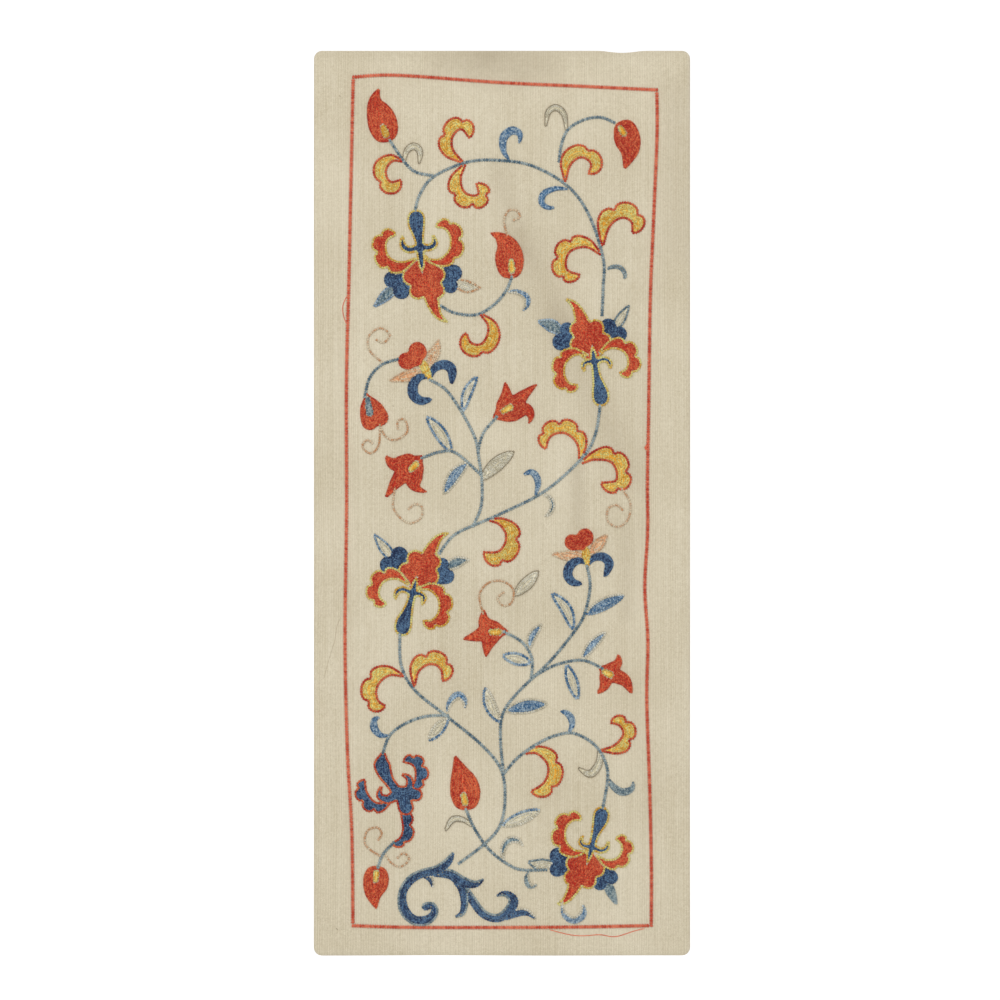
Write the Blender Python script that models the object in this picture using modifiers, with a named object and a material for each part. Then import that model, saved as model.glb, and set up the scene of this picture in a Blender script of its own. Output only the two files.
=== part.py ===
"""A small embroidered wall hanging: a hemmed cotton panel with a silk flower vine inside a red line.

The panel hangs in the XZ plane with its face towards -Y. The origin is the middle of its top
edge, on the plane that the top hem lies against. Tables and sizes are in millimetres, as
(across from the middle, up from the top edge), and MM turns them into metres.
"""

import math

import bmesh
import bpy
import numpy as np
from mathutils import Vector
from mathutils.geometry import delaunay_2d_cdt

MM = 0.001

# The cotton panel
WIDTH = 188.0
HEIGHT = 452.0
CLOTH = 1.0
SIDE_HEM = 19.0
TOP_HEM = 12.0
BOTTOM_HEM = 14.0
HEM_STEP = 0.6
HEMMED = 2 * CLOTH
CORNER_RADIUS = 4.0
GRID = 17.0
TOP_DIP = {"from": 47.0, "to": 73.0, "depth": 1.0}

# How far the panel stands off its flat place, lower down. Each row is one soft wave.
LIE_START, LIE_FULL = -14.0, -90.0
LIE_MEAN = 0.9
LIE_WAVES = [
    {"height": 0.5, "across": 150.0, "down": 400.0, "phase": 0.6},
    {"height": 0.35, "across": 95.0, "down": -260.0, "phase": 2.1},
]

# The silk, which stands on the cloth as a low relief
SILK = 0.6
GAP = 0.3
STEM_HALF = 0.95
LINE_HALF = 0.9
TENDRIL_HALF = 0.75
POINT_HALF = 0.05
WELD = 0.05
FLAT_ENOUGH = 1.0
SMALLEST_ISLAND = 5.0
LONGEST_EDGE, TIMES_SPLIT = 20.0, 3

# How far apart the rows of a curve are, and from which half width on a round end has 4 sides
STEP, LEAF_STEP, LOBE_STEP, TENDRIL_STEP, LINE_STEP = 4.0, 2.0, 1.5, 3.0, 16.0
WIDE_END = 1.5

# A lobed leaf's width as a share of the whole at its root, where along its spine it is full and
# where its tip starts, how deep its notches are, where along its outer edge the lobes start, and
# how its tip thins.
ROOT_WIDE, ROOT_FULL, TIP_START = 0.2, 0.48, 0.68
NOTCH, ROOT_ARC, TIP_POINT = 0.33, 0.13, 0.7
LOBE_STEPS = 4
NEARLY = 1.0e-6
# Where a bud is fullest
BUD_FULL = 0.33

# The red line's corners and the places between them where it wanders
BORDER = [
    (-74.3, -13.3), (-52, -12.4), (-1, -16), (38, -17.8), (77.3, -19.7),
    (77.4, -43), (75.4, -90), (74, -125), (73.2, -180), (72.6, -215), (72.7, -240), (71.3, -268),
    (72.8, -295), (72.3, -325), (73.8, -370), (74.6, -410), (74.5, -437),
    (36, -437.6), (-37, -438), (-74.4, -437),
    (-75, -390), (-77.2, -350), (-78.4, -295), (-77.6, -230), (-77.6, -165), (-76.3, -110), (-75, -45),
]
BORDER_CORNERS = (0, 4, 16, 19)

# Stems, all of one width. Each spine runs along the middle of the stem.
STEMS = [
    {"name": "upper vine", "spine": [
        (-43.3, -79.6), (-41, -72), (-34, -63), (-17, -55.7), (0, -55), (16, -58), (33, -68),
        (43.5, -82.5), (50.5, -104), (50.5, -118), (49.3, -130.4)]},
    {"name": "middle vine", "spine": [
        (49, -177.6), (46.5, -192), (40, -203.5), (21.5, -220), (-1, -231.5), (-21.5, -240.5),
        (-28, -246.5), (-31, -251)]},
    {"name": "lower vine", "spine": [
        (-51, -291.6), (-50.3, -307), (-43.5, -319.5), (-27.5, -332.5), (-10.5, -346.5), (-0.5, -359),
        (1.5, -374), (-1, -387), (-8.5, -396), (-21.5, -406)]},
    {"name": "first bud", "spine": [(-56, -45), (-48.5, -56), (-43, -60.8), (-35, -62.5)]},
    {"name": "second bud", "spine": [
        (28.5, -55.5), (29.7, -47), (33, -39.5), (40.5, -34.8), (49, -33.4), (56, -36)]},
    {"name": "third bud", "spine": [
        (-30.5, -127.5), (-24, -131), (-13, -132), (-4, -127), (2, -120), (5, -113)]},
    {"name": "first blossom", "spine": [
        (-36, -164.5), (-28, -169.5), (-20.5, -180), (-13.5, -193.5), (-11.5, -204), (-10, -216),
        (-10.5, -228), (-14.5, -237.5)]},
    {"name": "heart bud", "spine": [(-52, -154.3), (-60, -157), (-66, -163.5), (-68.5, -173)]},
    {"name": "first tulip", "spine": [(-12, -200), (-9.3, -191), (-2.5, -183)]},
    {"name": "second tulip", "spine": [(-40, -203.5), (-31, -200.5), (-23, -201), (-11, -211.5)]},
    {"name": "second blossom", "spine": [
        (42.5, -257.5), (44, -268), (41, -282), (35.5, -291), (24, -305), (8, -320.5), (0.5, -331),
        (-0.8, -343), (0.5, -359)]},
    {"name": "third tulip", "spine": [(1, -290.3), (9.5, -295), (14, -301), (15.2, -306), (14.5, -314)]},
    {"name": "fourth tulip", "spine": [(16, -312.5), (27, -306.8), (40, -304.5), (50, -308.5)]},
    {"name": "blue palmette", "spine": [
        (-27, -332), (-38, -332.5), (-48, -336), (-56, -342), (-59.5, -351)]},
    {"name": "last palmette", "spine": [
        (1, -361), (8, -353), (18, -346), (27, -342), (36, -341), (46, -346.5), (51.5, -355),
        (52.7, -364), (50.3, -378.2)]},
    {"name": "fourth bud", "spine": [
        (-18, -379), (-13.5, -389), (-6, -399.5), (4, -407), (11, -409.2), (22, -409)]},
    {"name": "fifth bud", "spine": [(-54, -395.5), (-59.5, -401.5), (-62, -408)]},
]

# Curled leaves: a spine from the stem to the tip, and the half width where the leaf is fullest.
CURLS = [
    {"half": 2.6, "spine": [(3.5, -54.5), (0.7, -50), (0.8, -43.5), (5, -40), (9, -42), (8.2, -48.3)]},
    {"half": 2.0,
     "spine": [(34, -69.5), (27, -69), (21, -71.5), (19.8, -76), (23.5, -78.7), (29, -77.5)]},
    {"half": 2.0, "spine": [(1.5, -121), (7, -120.5), (12, -123), (12.5, -127), (9, -131.5)]},
    {"half": 1.5, "spine": [(50.5, -112), (54, -108.5), (59, -108.5), (61.5, -112.5), (60, -117.5)]},
    {"half": 2.1, "spine": [(16.5, -222.5), (18, -217), (17, -212.5), (14, -210.5), (9.3, -213)]},
    {"half": 1.7, "spine": [(18, -221.5), (23.5, -223), (25.3, -227.5), (23, -231.8), (18.5, -233.7)]},
    {"half": 2.3, "spine": [(-56.5, -342), (-60.5, -342), (-63.8, -338.5), (-63.5, -334), (-60, -332.8)]},
    {"half": 2.3, "spine": [(-27.5, -331), (-26, -325.5), (-21.8, -321.8), (-18.6, -325), (-18.8, -330)]},
    {"half": 2.1, "spine": [(33, -341), (35, -337), (34.3, -333), (31.5, -330.5), (27.8, -330)]},
    {"half": 2.3, "spine": [(52, -362), (55, -367), (60, -370.3), (65, -368.5), (65.3, -363.5)]},
    {"half": 2.3, "spine": [(0.8, -405), (0.5, -399), (3.5, -394.5), (8, -394.5), (11.4, -398.7)]},
    {"half": 1.9, "spine": [(13.8, -409), (12.3, -413.5), (14.3, -417.3), (18.8, -415.8)]},
    {"half": 1.9, "spine": [(-49, -55.5), (-47.5, -50), (-44, -47.8), (-41, -50.5), (-41.5, -57)]},
    {"half": 1.7, "spine": [(32.3, -40.5), (31, -32), (27, -28.5), (23, -31), (21.7, -38.5)]},
    {"half": 2.2, "spine": [(48.5, -349), (48.3, -356), (44, -361.2), (37.8, -358)]},
    {"half": 1.7, "spine": [(-15.5, -387), (-19, -384.3), (-24.5, -384), (-28.5, -390)]},
]

# Leaves shaped like a lens: from the stem to the tip, and the half width in the middle.
LENSES = [
    {"half": 2.9, "spine": [(-19.5, -181), (-17.3, -171), (-12, -162)]},
    {"half": 3.6, "spine": [(-25, -201), (-31, -191), (-38, -182.3)]},
    {"half": 3.3, "spine": [(-16.5, -205.5), (-23.5, -212), (-29.3, -222)]},
    {"half": 3.4, "spine": [(-10.5, -214.5), (-2.5, -206.5), (5.7, -200.5)]},
    {"half": 3.3, "spine": [(35.7, -290), (32, -279), (24.3, -270.5)]},
    {"half": 3.3, "spine": [(41.5, -281.8), (51, -276.5), (61.3, -271.8)]},
    {"half": 3.5, "spine": [(15, -306), (8, -304), (-0.3, -302)]},
    {"half": 2.6, "spine": [(39.5, -304.5), (45, -297), (52.3, -290)]},
    {"half": 3.3, "spine": [(32, -306), (35, -315), (38, -324.7)]},
    {"half": 3.8, "spine": [(1.5, -330), (12, -327.5), (23, -326.3)]},
    {"half": 3.4, "spine": [(-0.7, -336), (-5.5, -328), (-8.5, -317.5)]},
    {"half": 3.3, "spine": [(-26.5, -333), (-31.5, -338.5), (-36.8, -345)]},
    {"half": 3.5, "spine": [(-0.5, -387.5), (9, -383.5), (19.5, -379)]},
    {"half": 2.4, "spine": [(13.5, -300), (14.8, -293), (20, -286)]},
]

# Tendrils: fine curls of one width, each with the piece that it grows from.
TENDRILS = [
    {"on": "bud_3", "spine": [(2.5, -92), (1, -85), (3, -80.3), (7, -79.8), (9, -83), (6, -84.8)]},
    {"on": "vine", "spine": [
        (-59, -156.5), (-66, -150), (-66.5, -143), (-61, -138.8), (-56, -142), (-59, -146),
        (-62.5, -144.7)]},
    {"on": "heart_bud",
     "spine": [(-61, -187), (-58, -193), (-53, -194.5), (-47.3, -190.5), (-48.5, -184.5),
                                  (-52, -185), (-52, -189)]},
    {"on": "heart_bud",
     "spine": [(-61, -187), (-61.5, -197), (-65.5, -201.3), (-69.7, -198), (-67.5, -194.5),
                                  (-64.8, -196)]},
    {"on": "tulip_2", "spine": [(-53.5, -219), (-54, -229), (-47, -236), (-40.5, -233.5), (-40, -228),
                                (-43.5, -226.7), (-46.5, -229)]},
    {"on": "cloud_leaf_9", "spine": [(60, -219), (64, -226), (63, -234), (58, -238), (52.8, -235),
                                     (53, -229), (57, -227), (60, -229.3)]},
    {"on": "tulip_3",
     "spine": [(-9.5, -281), (-11.3, -272), (-7, -266), (0, -265), (5.5, -269), (5, -275.5),
                                (0.5, -277.3), (-2.3, -273.5), (0.8, -270.8)]},
    {"on": "vine",
     "spine": [(-60.5, -402.5), (-68, -397), (-67.5, -390), (-62.5, -388), (-60, -391), (-61.7, -394)]},
    {"on": "vine", "spine": [(-58.5, -400.5), (-56, -405), (-51, -407.7), (-46.3, -404), (-49, -400.8),
                             (-52, -403)]},
]

# Cloud leaves: the smooth inner edge from the stem to the tip, the width, and the lobes outside it.
CLOUD_LEAVES = [
    {"lobes": 2, "width": 7.7,
     "spine": [(-48.5, -56.5), (-54, -55.8), (-57.3, -60), (-55.5, -65), (-50, -63.5)]},
    {"lobes": 3, "width": 8.0,
     "spine": [(-18, -56), (-23.5, -50), (-24.3, -44), (-20.5, -40), (-16.5, -45)]},
    {"lobes": 4, "width": 8.4,
     "spine": [(-17, -56), (-20, -64), (-18, -70.5), (-12.5, -71.5), (-14, -66)]},
    {"lobes": 2, "width": 7.9,
     "spine": [(32.3, -66.5), (34.5, -58), (39.5, -54), (43.8, -57), (42, -62)]},
    {"lobes": 3, "width": 9.2, "spine": [(51, -98.5), (54, -89), (59, -84.6), (64, -86), (64.3, -92.3)]},
    {"lobes": 4, "width": 8.4,
     "spine": [(50, -103.5), (42, -99), (34, -101.5), (33, -109), (40, -111.5)]},
    {"lobes": 2, "width": 7.9,
     "spine": [(-12.5, -131), (-7.5, -138), (-10, -145.5), (-15, -145.5), (-17.3, -140)]},
    {"lobes": 4, "width": 8.3,
     "spine": [(38, -207), (37, -197), (31, -191.7), (24.5, -193.5), (22.5, -200)]},
    {"lobes": 4, "width": 8.6,
     "spine": [(38, -207.8), (46, -205), (54.5, -206.5), (56.5, -214), (48.5, -215)]},
    {"lobes": 3, "width": 9.2,
     "spine": [(-8, -235), (-2, -237), (1.5, -243), (-2, -249.5), (-10, -249.7)]},
    {"lobes": 3, "width": 9.0,
     "spine": [(-48.7, -313.5), (-56, -312.7), (-61.5, -317.5), (-61.5, -324), (-57, -327)]},
    {"lobes": 3, "width": 8.1,
     "spine": [(-43, -318.5), (-41, -310.5), (-35.5, -307), (-31, -309.5), (-30.5, -315.8)]},
    {"lobes": 3, "width": 8.6,
     "spine": [(9.5, -352), (17, -351.7), (22.3, -357.5), (20.5, -365), (13.3, -369.7)]},
    {"lobes": 3, "width": 7.7,
     "spine": [(48.5, -348.8), (55.5, -346.5), (59.8, -341.5), (58, -337.5), (53.3, -336.5)]},
]

# Buds: from the round base to the pointed tip, and the half width near the base.
BUDS = [
    {"half": 7.4, "spine": [(-57, -45.8), (-60, -35), (-63.3, -25), (-60.5, -17.5)]},
    {"half": 6.6, "spine": [(60, -34.8), (62.3, -43), (63.5, -51), (60.5, -61)]},
    {"half": 7.2, "spine": [(4.3, -114), (3.7, -104), (2.2, -97.3), (-1.8, -92.8), (-7.5, -90.8)]},
    {"half": 7.6, "spine": [(-18, -379.5), (-18.5, -369), (-21, -360), (-24, -350.5)]},
    {"half": 6.5, "spine": [(-62.3, -407), (-63, -415), (-64, -422), (-62.3, -430)]},
]

# Flower designs, each in its own frame: a stroke is a spine of (across, up, half width) rows.
HEART_BUD = [
    [(-67.3, -171.5, 0.7), (-67.6, -179, 3.4), (-66, -185.5, 4.3)],
    [(-66.8, -172.5, 0.7), (-63.5, -178, 3.6), (-61, -183.3, 4.5)],
]
# A blossom opens along +Y from its stem at the origin.
BLOSSOM_CAP = [
    [(0.4, 10.5, 1.6), (-3.6, 14.7, 4.0)],
    [(0.4, 10.5, 1.6), (3.4, 15.4, 4.2)],
    [(-3.4, 13.7, 3.6), (3.4, 14.3, 3.9)],
]
BLOSSOM_WINGS = [
    [(0.7, 6.6, 1.4), (-7.5, 8.8, 2.8), (-15.8, 12, 0.4)],
    [(3.4, 6.8, 1.4), (9, 9.8, 3.0), (14.8, 13.6, 0.4)],
    [(0.2, 0.5, 0.8), (1, 5.5, 2.2), (1.6, 8.6, 2.2)],
]
BLOSSOM_CRESCENTS = [
    [(0, 2.6, 0.8), (-3.2, 4.9, 1.8), (-7.8, 3.9, 2.4), (-10.6, -0.2, 2.4), (-9.2, -4.5, 2.1),
     (-5.9, -6.3, 1.2)],
    [(1.6, 2, 0.8), (4.6, 4.0, 1.8), (9.2, 3.0, 2.3), (11.0, -0.9, 2.4), (8.4, -4.8, 1.6),
     (6.3, -7.0, 0.4)],
]
# A palmette hangs down from its drop's top at the origin, with its tail to the right.
DROP = [
    (-0.8, -4.9, 4.6), (-0.7, -8, 4.5), (0.1, -12.5, 3.3), (0.8, -17, 2.4), (1.3, -22, 2.2),
    (1.9, -28, 1.8), (2.2, -32.5, 0.4),
]
ARMS = [
    [(0.5, -19.3, 2.0), (-4.5, -20.6, 2.0), (-7.6, -18.2, 1.9), (-7.6, -13.9, 0.9)],
    [(1.5, -18.8, 2.0), (5.5, -19.6, 2.0), (8.5, -17.6, 1.9), (7.6, -13.4, 0.9)],
]
PETALS = [
    {"lobes": 4, "width": 8.0, "side": -1,
     "spine": [(-0.5, -23.8), (-8, -26.3), (-13.8, -24), (-15.6, -19), (-14, -15.3), (-10, -13.6)]},
    {"lobes": 4, "width": 7.8, "side": 1,
     "spine": [(2.5, -24), (9.5, -25), (14.8, -21), (15.8, -15), (13.2, -10.6), (8.2, -9.8)]},
]
FAN = [
    [(2, -25, 2.2), (-3.3, -34, 4.8)],
    [(2, -26, 2.2), (0, -41, 4.7)],
    [(3, -27, 2.6), (6, -42, 4.0), (10, -53, 2.2), (16, -57.3, 0.4)],
    [(3, -25, 2.2), (9, -33, 5.0)],
    [(3, -27, 2.2), (9.5, -41, 4.3)],
]
SIDE_LEAVES = [
    {"root": (-4, -34), "strokes": [
        [(-6, -32, 2.5), (-12.8, -35.5, 4.3)],
        [(-6, -37, 2.5), (-8.2, -41, 4.4)],
        [(-10, -38, 2.0), (-16, -43.5, 3.0), (-22.8, -50, 0.4)]]},
    {"root": (9, -33), "strokes": [
        [(11, -31, 2.5), (17.8, -32.2, 4.4)],
        [(11, -36, 2.5), (16.3, -38.6, 3.8)],
        [(18, -36.5, 2.0), (24.5, -39, 3.4), (32, -39.5, 0.4)]]},
]
# The blue palmette is one of a kind, so its strokes are at their places on the panel.
BLUE_PALMETTE_STROKES = [
    [(-59.5, -352.5, 2.2), (-60, -356, 4.4), (-58.5, -361, 3.9), (-55.5, -366, 2.8), (-51, -372, 3.4)],
    [(-52, -371, 3), (-57, -374, 2.6), (-61.3, -372, 1.9), (-60.3, -367.5, 0.9)],
    [(-51, -370, 3), (-46.5, -368.8, 2.4), (-46.3, -363.5, 1.9), (-50, -361.5, 0.9)],
    [(-50, -371, 3.6), (-48, -378, 4.2)],
    [(-47, -369.5, 2.5), (-43, -371.6, 3.6)],
]
BLUE_PALMETTE_PETALS = [
    {"lobes": 4, "width": 7.2, "side": -1,
     "spine": [(-54, -373), (-62, -375.3), (-67, -370), (-67.8, -363.2)]},
    {"lobes": 4, "width": 7.4, "side": 1,
     "spine": [(-50, -369), (-45.5, -367.3), (-43.6, -362), (-45, -357.3), (-50.3, -355.8)]},
    {"lobes": 3, "width": 6.8, "side": -1,
     "spine": [(-51.5, -372), (-51, -381), (-50, -388.5), (-51.8, -393.3), (-56.3, -395)]},
]

TULIPS = [
    [[(-3, -183, 1.8), (0.5, -181, 5.2), (5, -179, 6.5)],
     [(2, -177, 5.2), (2.2, -171, 2.6), (1.5, -165, 0.4)],
     [(5, -178, 5.0), (11, -172, 2.7), (18, -166.2, 0.4)],
     [(6, -180, 4.6), (12.3, -179.5, 3.4), (14.5, -183, 1.7), (13, -187, 0.4)]],
    [[(-40.5, -203.5, 1.6), (-43.5, -206, 4.8), (-47.5, -209, 6.2)],
     [(-47, -206.5, 5.4), (-54.5, -206.3, 3.2), (-58, -202.6, 0.7)],
     [(-48, -210, 5.2), (-53.5, -216.5, 2.9), (-58.5, -224, 0.4)],
     [(-44.5, -208.5, 5.6), (-43.8, -216, 4.0), (-42, -219, 1.9), (-37, -220.5, 0.4)]],
    [[(1, -290.2, 2.0), (-2.5, -290, 5.0), (-6, -290, 5.8)],
     [(-6.5, -288.5, 5.2), (-9, -284.5, 3.0), (-9, -279.2, 0.6)],
     [(-7.5, -290.5, 5.0), (-12.5, -292.3, 3.0), (-20, -294, 0.4)],
     [(-5.5, -292, 5.0), (-7.3, -297.5, 2.8), (-8, -303, 0.5)]],
    [[(49.8, -308.5, 1.6), (52, -310.5, 4.4), (54, -311.5, 4.6)],
     [(53.5, -309.8, 3.8), (58, -305.7, 2.3), (58, -301, 0.5)],
     [(55.5, -311.7, 3.8), (61.5, -314.8, 3.1), (65, -321.5, 0.5)],
     [(52.5, -312.5, 4.0), (50.7, -318, 2.3), (47.2, -321.3, 0.5)]],
]
BLOSSOMS = [{"at": (-35.2, -165.3), "turn": 37.0, "size": 1.07}, {"at": (42.8, -258.5), "turn": 17.0}]
# Each palmette's own parts differ a little: how far its arms are moved down and their size, how
# its two petals are moved and sized, and how its two side leaves are turned and sized. Each part
# is turned and sized about the place where it grows.
PALMETTES = [
    {"place": {"at": (-42, -79), "turn": 0.0, "mirror": 1, "size": 1.0},
     "arms_down": 0.0, "arms_size": 1.0,
     "petals": ({"move": (0.0, 0.0), "size": 1.0}, {"move": (0.0, 0.0), "size": 1.0}),
     "leaves": ({"turn": 0.0, "size": 1.0}, {"turn": 0.0, "size": 1.0})},
    {"place": {"at": (48.8, -178.3), "turn": 183.0, "mirror": 1, "size": 0.97},
     "arms_down": 4.4, "arms_size": 0.85,
     "petals": ({"move": (-0.6, -3.4), "size": 0.94}, {"move": (1.7, -2.2), "size": 0.94}),
     "leaves": ({"turn": 12.0, "size": 0.96}, {"turn": -16.0, "size": 1.05})},
    {"place": {"at": (-49.5, -293), "turn": 171.0, "mirror": -1, "size": 0.97},
     "arms_down": 4.0, "arms_size": 0.9,
     "petals": ({"move": (-0.3, -2.4), "size": 0.96}, {"move": (0.0, -0.7), "size": 0.98}),
     "leaves": ({"turn": 0.0, "size": 1.05}, {"turn": -16.0, "size": 0.95})},
    {"place": {"at": (49.7, -377), "turn": -10.0, "mirror": -1, "size": 0.93},
     "arms_down": 3.5, "arms_size": 0.9,
     "petals": ({"move": (-0.8, -1.8), "size": 0.86}, {"move": (0.3, -0.5), "size": 1.0}),
     "leaves": ({"turn": 12.0, "size": 0.92}, {"turn": 8.0, "size": 1.08})},
]
# A pale leaf grows from the third tulip's tendril, and a crescent lies alone near the last palmette.
PALE_LEAF = {"half": 3.0, "spine": [(6.0, -272.2), (12.5, -266), (18, -260)]}
CRESCENT = [(30, -425, 0.5), (31, -431.3, 1.5), (36, -434.3, 1.9), (40.6, -431, 1.9), (40, -425.5, 0.5)]
ROOT_SCROLL = [
    [(-24, -399.5, 0.4), (-26.5, -404.5, 2.0), (-32, -409, 2.4), (-40, -411, 2.2), (-46, -414.5, 2.3),
     (-49.8, -421, 2.2), (-49, -429, 2.6), (-44, -434.3, 2.5), (-37.5, -434.4, 2.5), (-33.6, -430.5, 2.0),
     (-34.5, -427, 1.8), (-38, -427.5, 2.2)],
    [(-40, -411.5, 1.2), (-35.5, -414, 1.6), (-34.4, -419.5, 0.4)],
    [(-34, -410.5, 2.2), (-26, -411.3, 2.6), (-20, -415, 2.8), (-13, -416.3, 1.8), (-8.3, -412.7, 0.4)],
    [(-24.5, -412.5, 2.2), (-20, -418, 2.4), (-18.7, -425, 2.0), (-20, -431, 1.5), (-25, -433, 0.4)],
    [(-20, -417, 2.2), (-15, -424, 2.2), (-9.5, -431, 2.2), (-2.5, -433.3, 2.2), (3, -430, 2.6),
     (5.8, -425, 2.6), (3.5, -421.7, 2.0), (0, -421, 1.3), (-3.8, -423, 0.4)],
    [(0, -433, 2.0), (7, -430.6, 2.2), (12.5, -430.3, 1.7), (18.3, -434.7, 0.4)],
]

SILKS = {
    "red": (0.50, 0.085, 0.04), "gold": (0.58, 0.37, 0.09), "navy": (0.045, 0.09, 0.17),
    "stem": (0.22, 0.27, 0.26),
}
COTTON = (0.63, 0.57, 0.42)


def smoothstep(low, high, value):
    share = min(max((value - low) / (high - low), 0.0), 1.0)
    return share * share * (3 - 2 * share)


def face_y(across, up):
    """The Y of the cloth's face in mm: flat at the top hem, standing off in soft waves below it."""
    lie = LIE_MEAN
    for wave in LIE_WAVES:
        lie += wave["height"] * math.sin(
            2 * math.pi * (across / wave["across"] + up / wave["down"]) + wave["phase"]
        )
    return -HEMMED - lie * smoothstep(LIE_START, LIE_FULL, up)


def material(name, color, roughness):
    made = bpy.data.materials.new(name)
    made.use_nodes = True
    shader = made.node_tree.nodes["Principled BSDF"]
    shader.inputs["Base Color"].default_value = (*color, 1.0)
    shader.inputs["Roughness"].default_value = roughness
    made.diffuse_color = (*color, 1.0)
    return made


def add_object(name, mesh, finish, collection, parent):
    mesh.materials.append(finish)
    piece = bpy.data.objects.new(name, mesh)
    piece.parent = parent
    collection.objects.link(piece)
    return piece


def even_stops(low, high, spacing):
    count = max(1, round((high - low) / spacing))
    return [low + (high - low) * i / count for i in range(count + 1)]


# Curves and strokes


def curve_through(rows, step):
    """Rows about one step apart on a smooth curve through the given rows, whatever their length."""
    last = len(rows) - 1
    line = []
    for i in range(last):
        a, b, c, d = (Vector(rows[min(max(j, 0), last)]) for j in (i - 1, i, i + 1, i + 2))
        pieces = max(1, round((c.xy - b.xy).length / step))
        for k in range(pieces):
            t = k / pieces
            line.append(
                0.5 * (2 * b + (c - a) * t + (2 * a - 5 * b + 4 * c - d) * t**2
                       + (3 * b - a - 3 * c + d) * t**3)
            )
    line.append(Vector(rows[-1]))
    return line


def directions(line):
    """The way the line runs at each of its points."""
    ends = range(len(line))
    return [(line[min(i + 1, ends[-1])].xy - line[max(i - 1, 0)].xy).normalized() for i in ends]


def stroke(rows, grow=0.0, step=STEP, rounded=True):
    """The cells of a tapering stroke, whose rows are (across, up, half width).

    A stroke grows to all sides, also past its ends.
    """
    line = curve_through([Vector(row) for row in rows], step)
    ways = directions(line)
    flat_ends = {} if rounded else {0: -grow, len(line) - 1: grow}
    left, right = [], []
    for i, (point, way) in enumerate(zip(line, ways)):
        middle = point.xy + way * flat_ends.get(i, 0.0)
        side = way.orthogonal() * (max(point.z, POINT_HALF) + grow)
        left.append(middle + side)
        right.append(middle - side)
    cells = [[left[i], right[i], right[i + 1], left[i + 1]] for i in range(len(line) - 1)]
    if rounded:
        cells += [cap(line[-1], ways[-1], grow), cap(line[0], -ways[0], grow)]
    return cells


def cap(point, way, grow):
    """A half round end on a stroke."""
    half = max(point.z, POINT_HALF) + grow
    start = math.atan2(way.y, way.x) - math.pi / 2
    bends = 4 if half > WIDE_END else 2
    turns = [start + math.pi * i / bends for i in range(bends + 1)]
    return [point.xy + half * Vector((math.cos(turn), math.sin(turn))) for turn in turns]


def widened(spine, profile, half):
    """A spine with a half width at each place, as the profile gives it from 0 to 1 along the spine."""
    line = curve_through([Vector((*row, 0.0)) for row in spine], LEAF_STEP)
    last = len(line) - 1
    return [(point.x, point.y, half * profile(i / last)) for i, point in enumerate(line)]


def curl_profile(share):
    return 0.28 + 0.72 * math.sin(math.pi * share**1.15) - 0.24 * share


def lens_profile(share):
    return 0.08 + 0.92 * math.sin(math.pi * share) ** 0.85


def bud_profile(share):
    """A round base, fullest at a third of the length, then a long point."""
    if share < BUD_FULL:
        return math.sqrt(max(1 - (1 - share / BUD_FULL) ** 2, 0.0))
    return math.cos(math.pi / 2 * (share - BUD_FULL) / (1 - BUD_FULL)) ** 1.5


def lobed(leaf, grow=0.0, side=None):
    """The cells of a cloud leaf or petal: a smooth inner edge, with round lobes along the outside."""
    line = curve_through([Vector(row) for row in leaf["spine"]], LOBE_STEP)
    ways = directions(line)
    if side is None:
        side = outer_side(line)
    outs = [Vector((-way.y, way.x)) * side for way in ways]
    last = len(line) - 1
    reaches = [leaf["width"] * leaf_width(i / last) for i in range(last + 1)]
    edge = [point + out * reach for point, out, reach in zip(line, outs, reaches)]
    arc = [0.0]
    for a, b in zip(edge, edge[1:]):
        arc.append(arc[-1] + (b - a).length)
    inner, outer = [], []
    steps = LOBE_STEPS * leaf["lobes"]
    for share in [0.0] + [ROOT_ARC + (1.0 - ROOT_ARC) * i / steps for i in range(steps + 1)]:
        low = min(max(i for i in range(last + 1) if arc[i] <= share * arc[-1] + NEARLY), last - 1)
        mix = min((share * arc[-1] - arc[low]) / max(arc[low + 1] - arc[low], NEARLY), 1.0)
        point, out = line[low].lerp(line[low + 1], mix), outs[low].lerp(outs[low + 1], mix)
        reach = reaches[low] + (reaches[low + 1] - reaches[low]) * mix
        inner.append(point - out * grow)
        outer.append(point + out * (reach * (1.0 - notch(share, leaf["lobes"])) + grow))
    return [[inner[i], outer[i], outer[i + 1], inner[i + 1]] for i in range(len(inner) - 1)]


def leaf_width(share):
    """How wide a cloud leaf is along its spine: narrow at the root, full, then a round tip that thins out."""
    width = ROOT_WIDE + (1.0 - ROOT_WIDE) * smoothstep(0.0, ROOT_FULL, share)
    past = max(share - TIP_START, 0.0) / (1.0 - TIP_START)
    return width * max(1.0 - past**2, 0.0) ** TIP_POINT


def notch(share, lobes):
    """How deep the outer edge dips between two lobes, for a share of the way along that edge."""
    place = (share - ROOT_ARC) / (1.0 - ROOT_ARC) * lobes
    nearest = round(place)
    if nearest < 1 or nearest >= lobes:
        return 0.0
    return NOTCH * (1.0 - math.sqrt(max(1.0 - (1.0 - 2 * abs(place - nearest)) ** 2, 0.0)))


def outer_side(line):
    """The side that lies outside the bend of a leaf's spine: 1 for left, -1 for right."""
    turn = 0.0
    for a, b, c in zip(line, line[1:], line[2:]):
        turn += (b - a).cross(c - b)
    return -1 if turn > 0 else 1


def placed(rows, at, turn=0.0, size=1.0, mirror=1):
    """A design's rows turned, sized, mirrored and moved to their place on the panel."""
    angle = math.radians(turn)
    moved = []
    for across, up, *half in rows:
        x, z = across * size * mirror, up * size
        moved.append((
            at[0] + x * math.cos(angle) - z * math.sin(angle),
            at[1] + x * math.sin(angle) + z * math.cos(angle),
            *(value * size for value in half),
        ))
    return moved


# What each silk piece is made of


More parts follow.
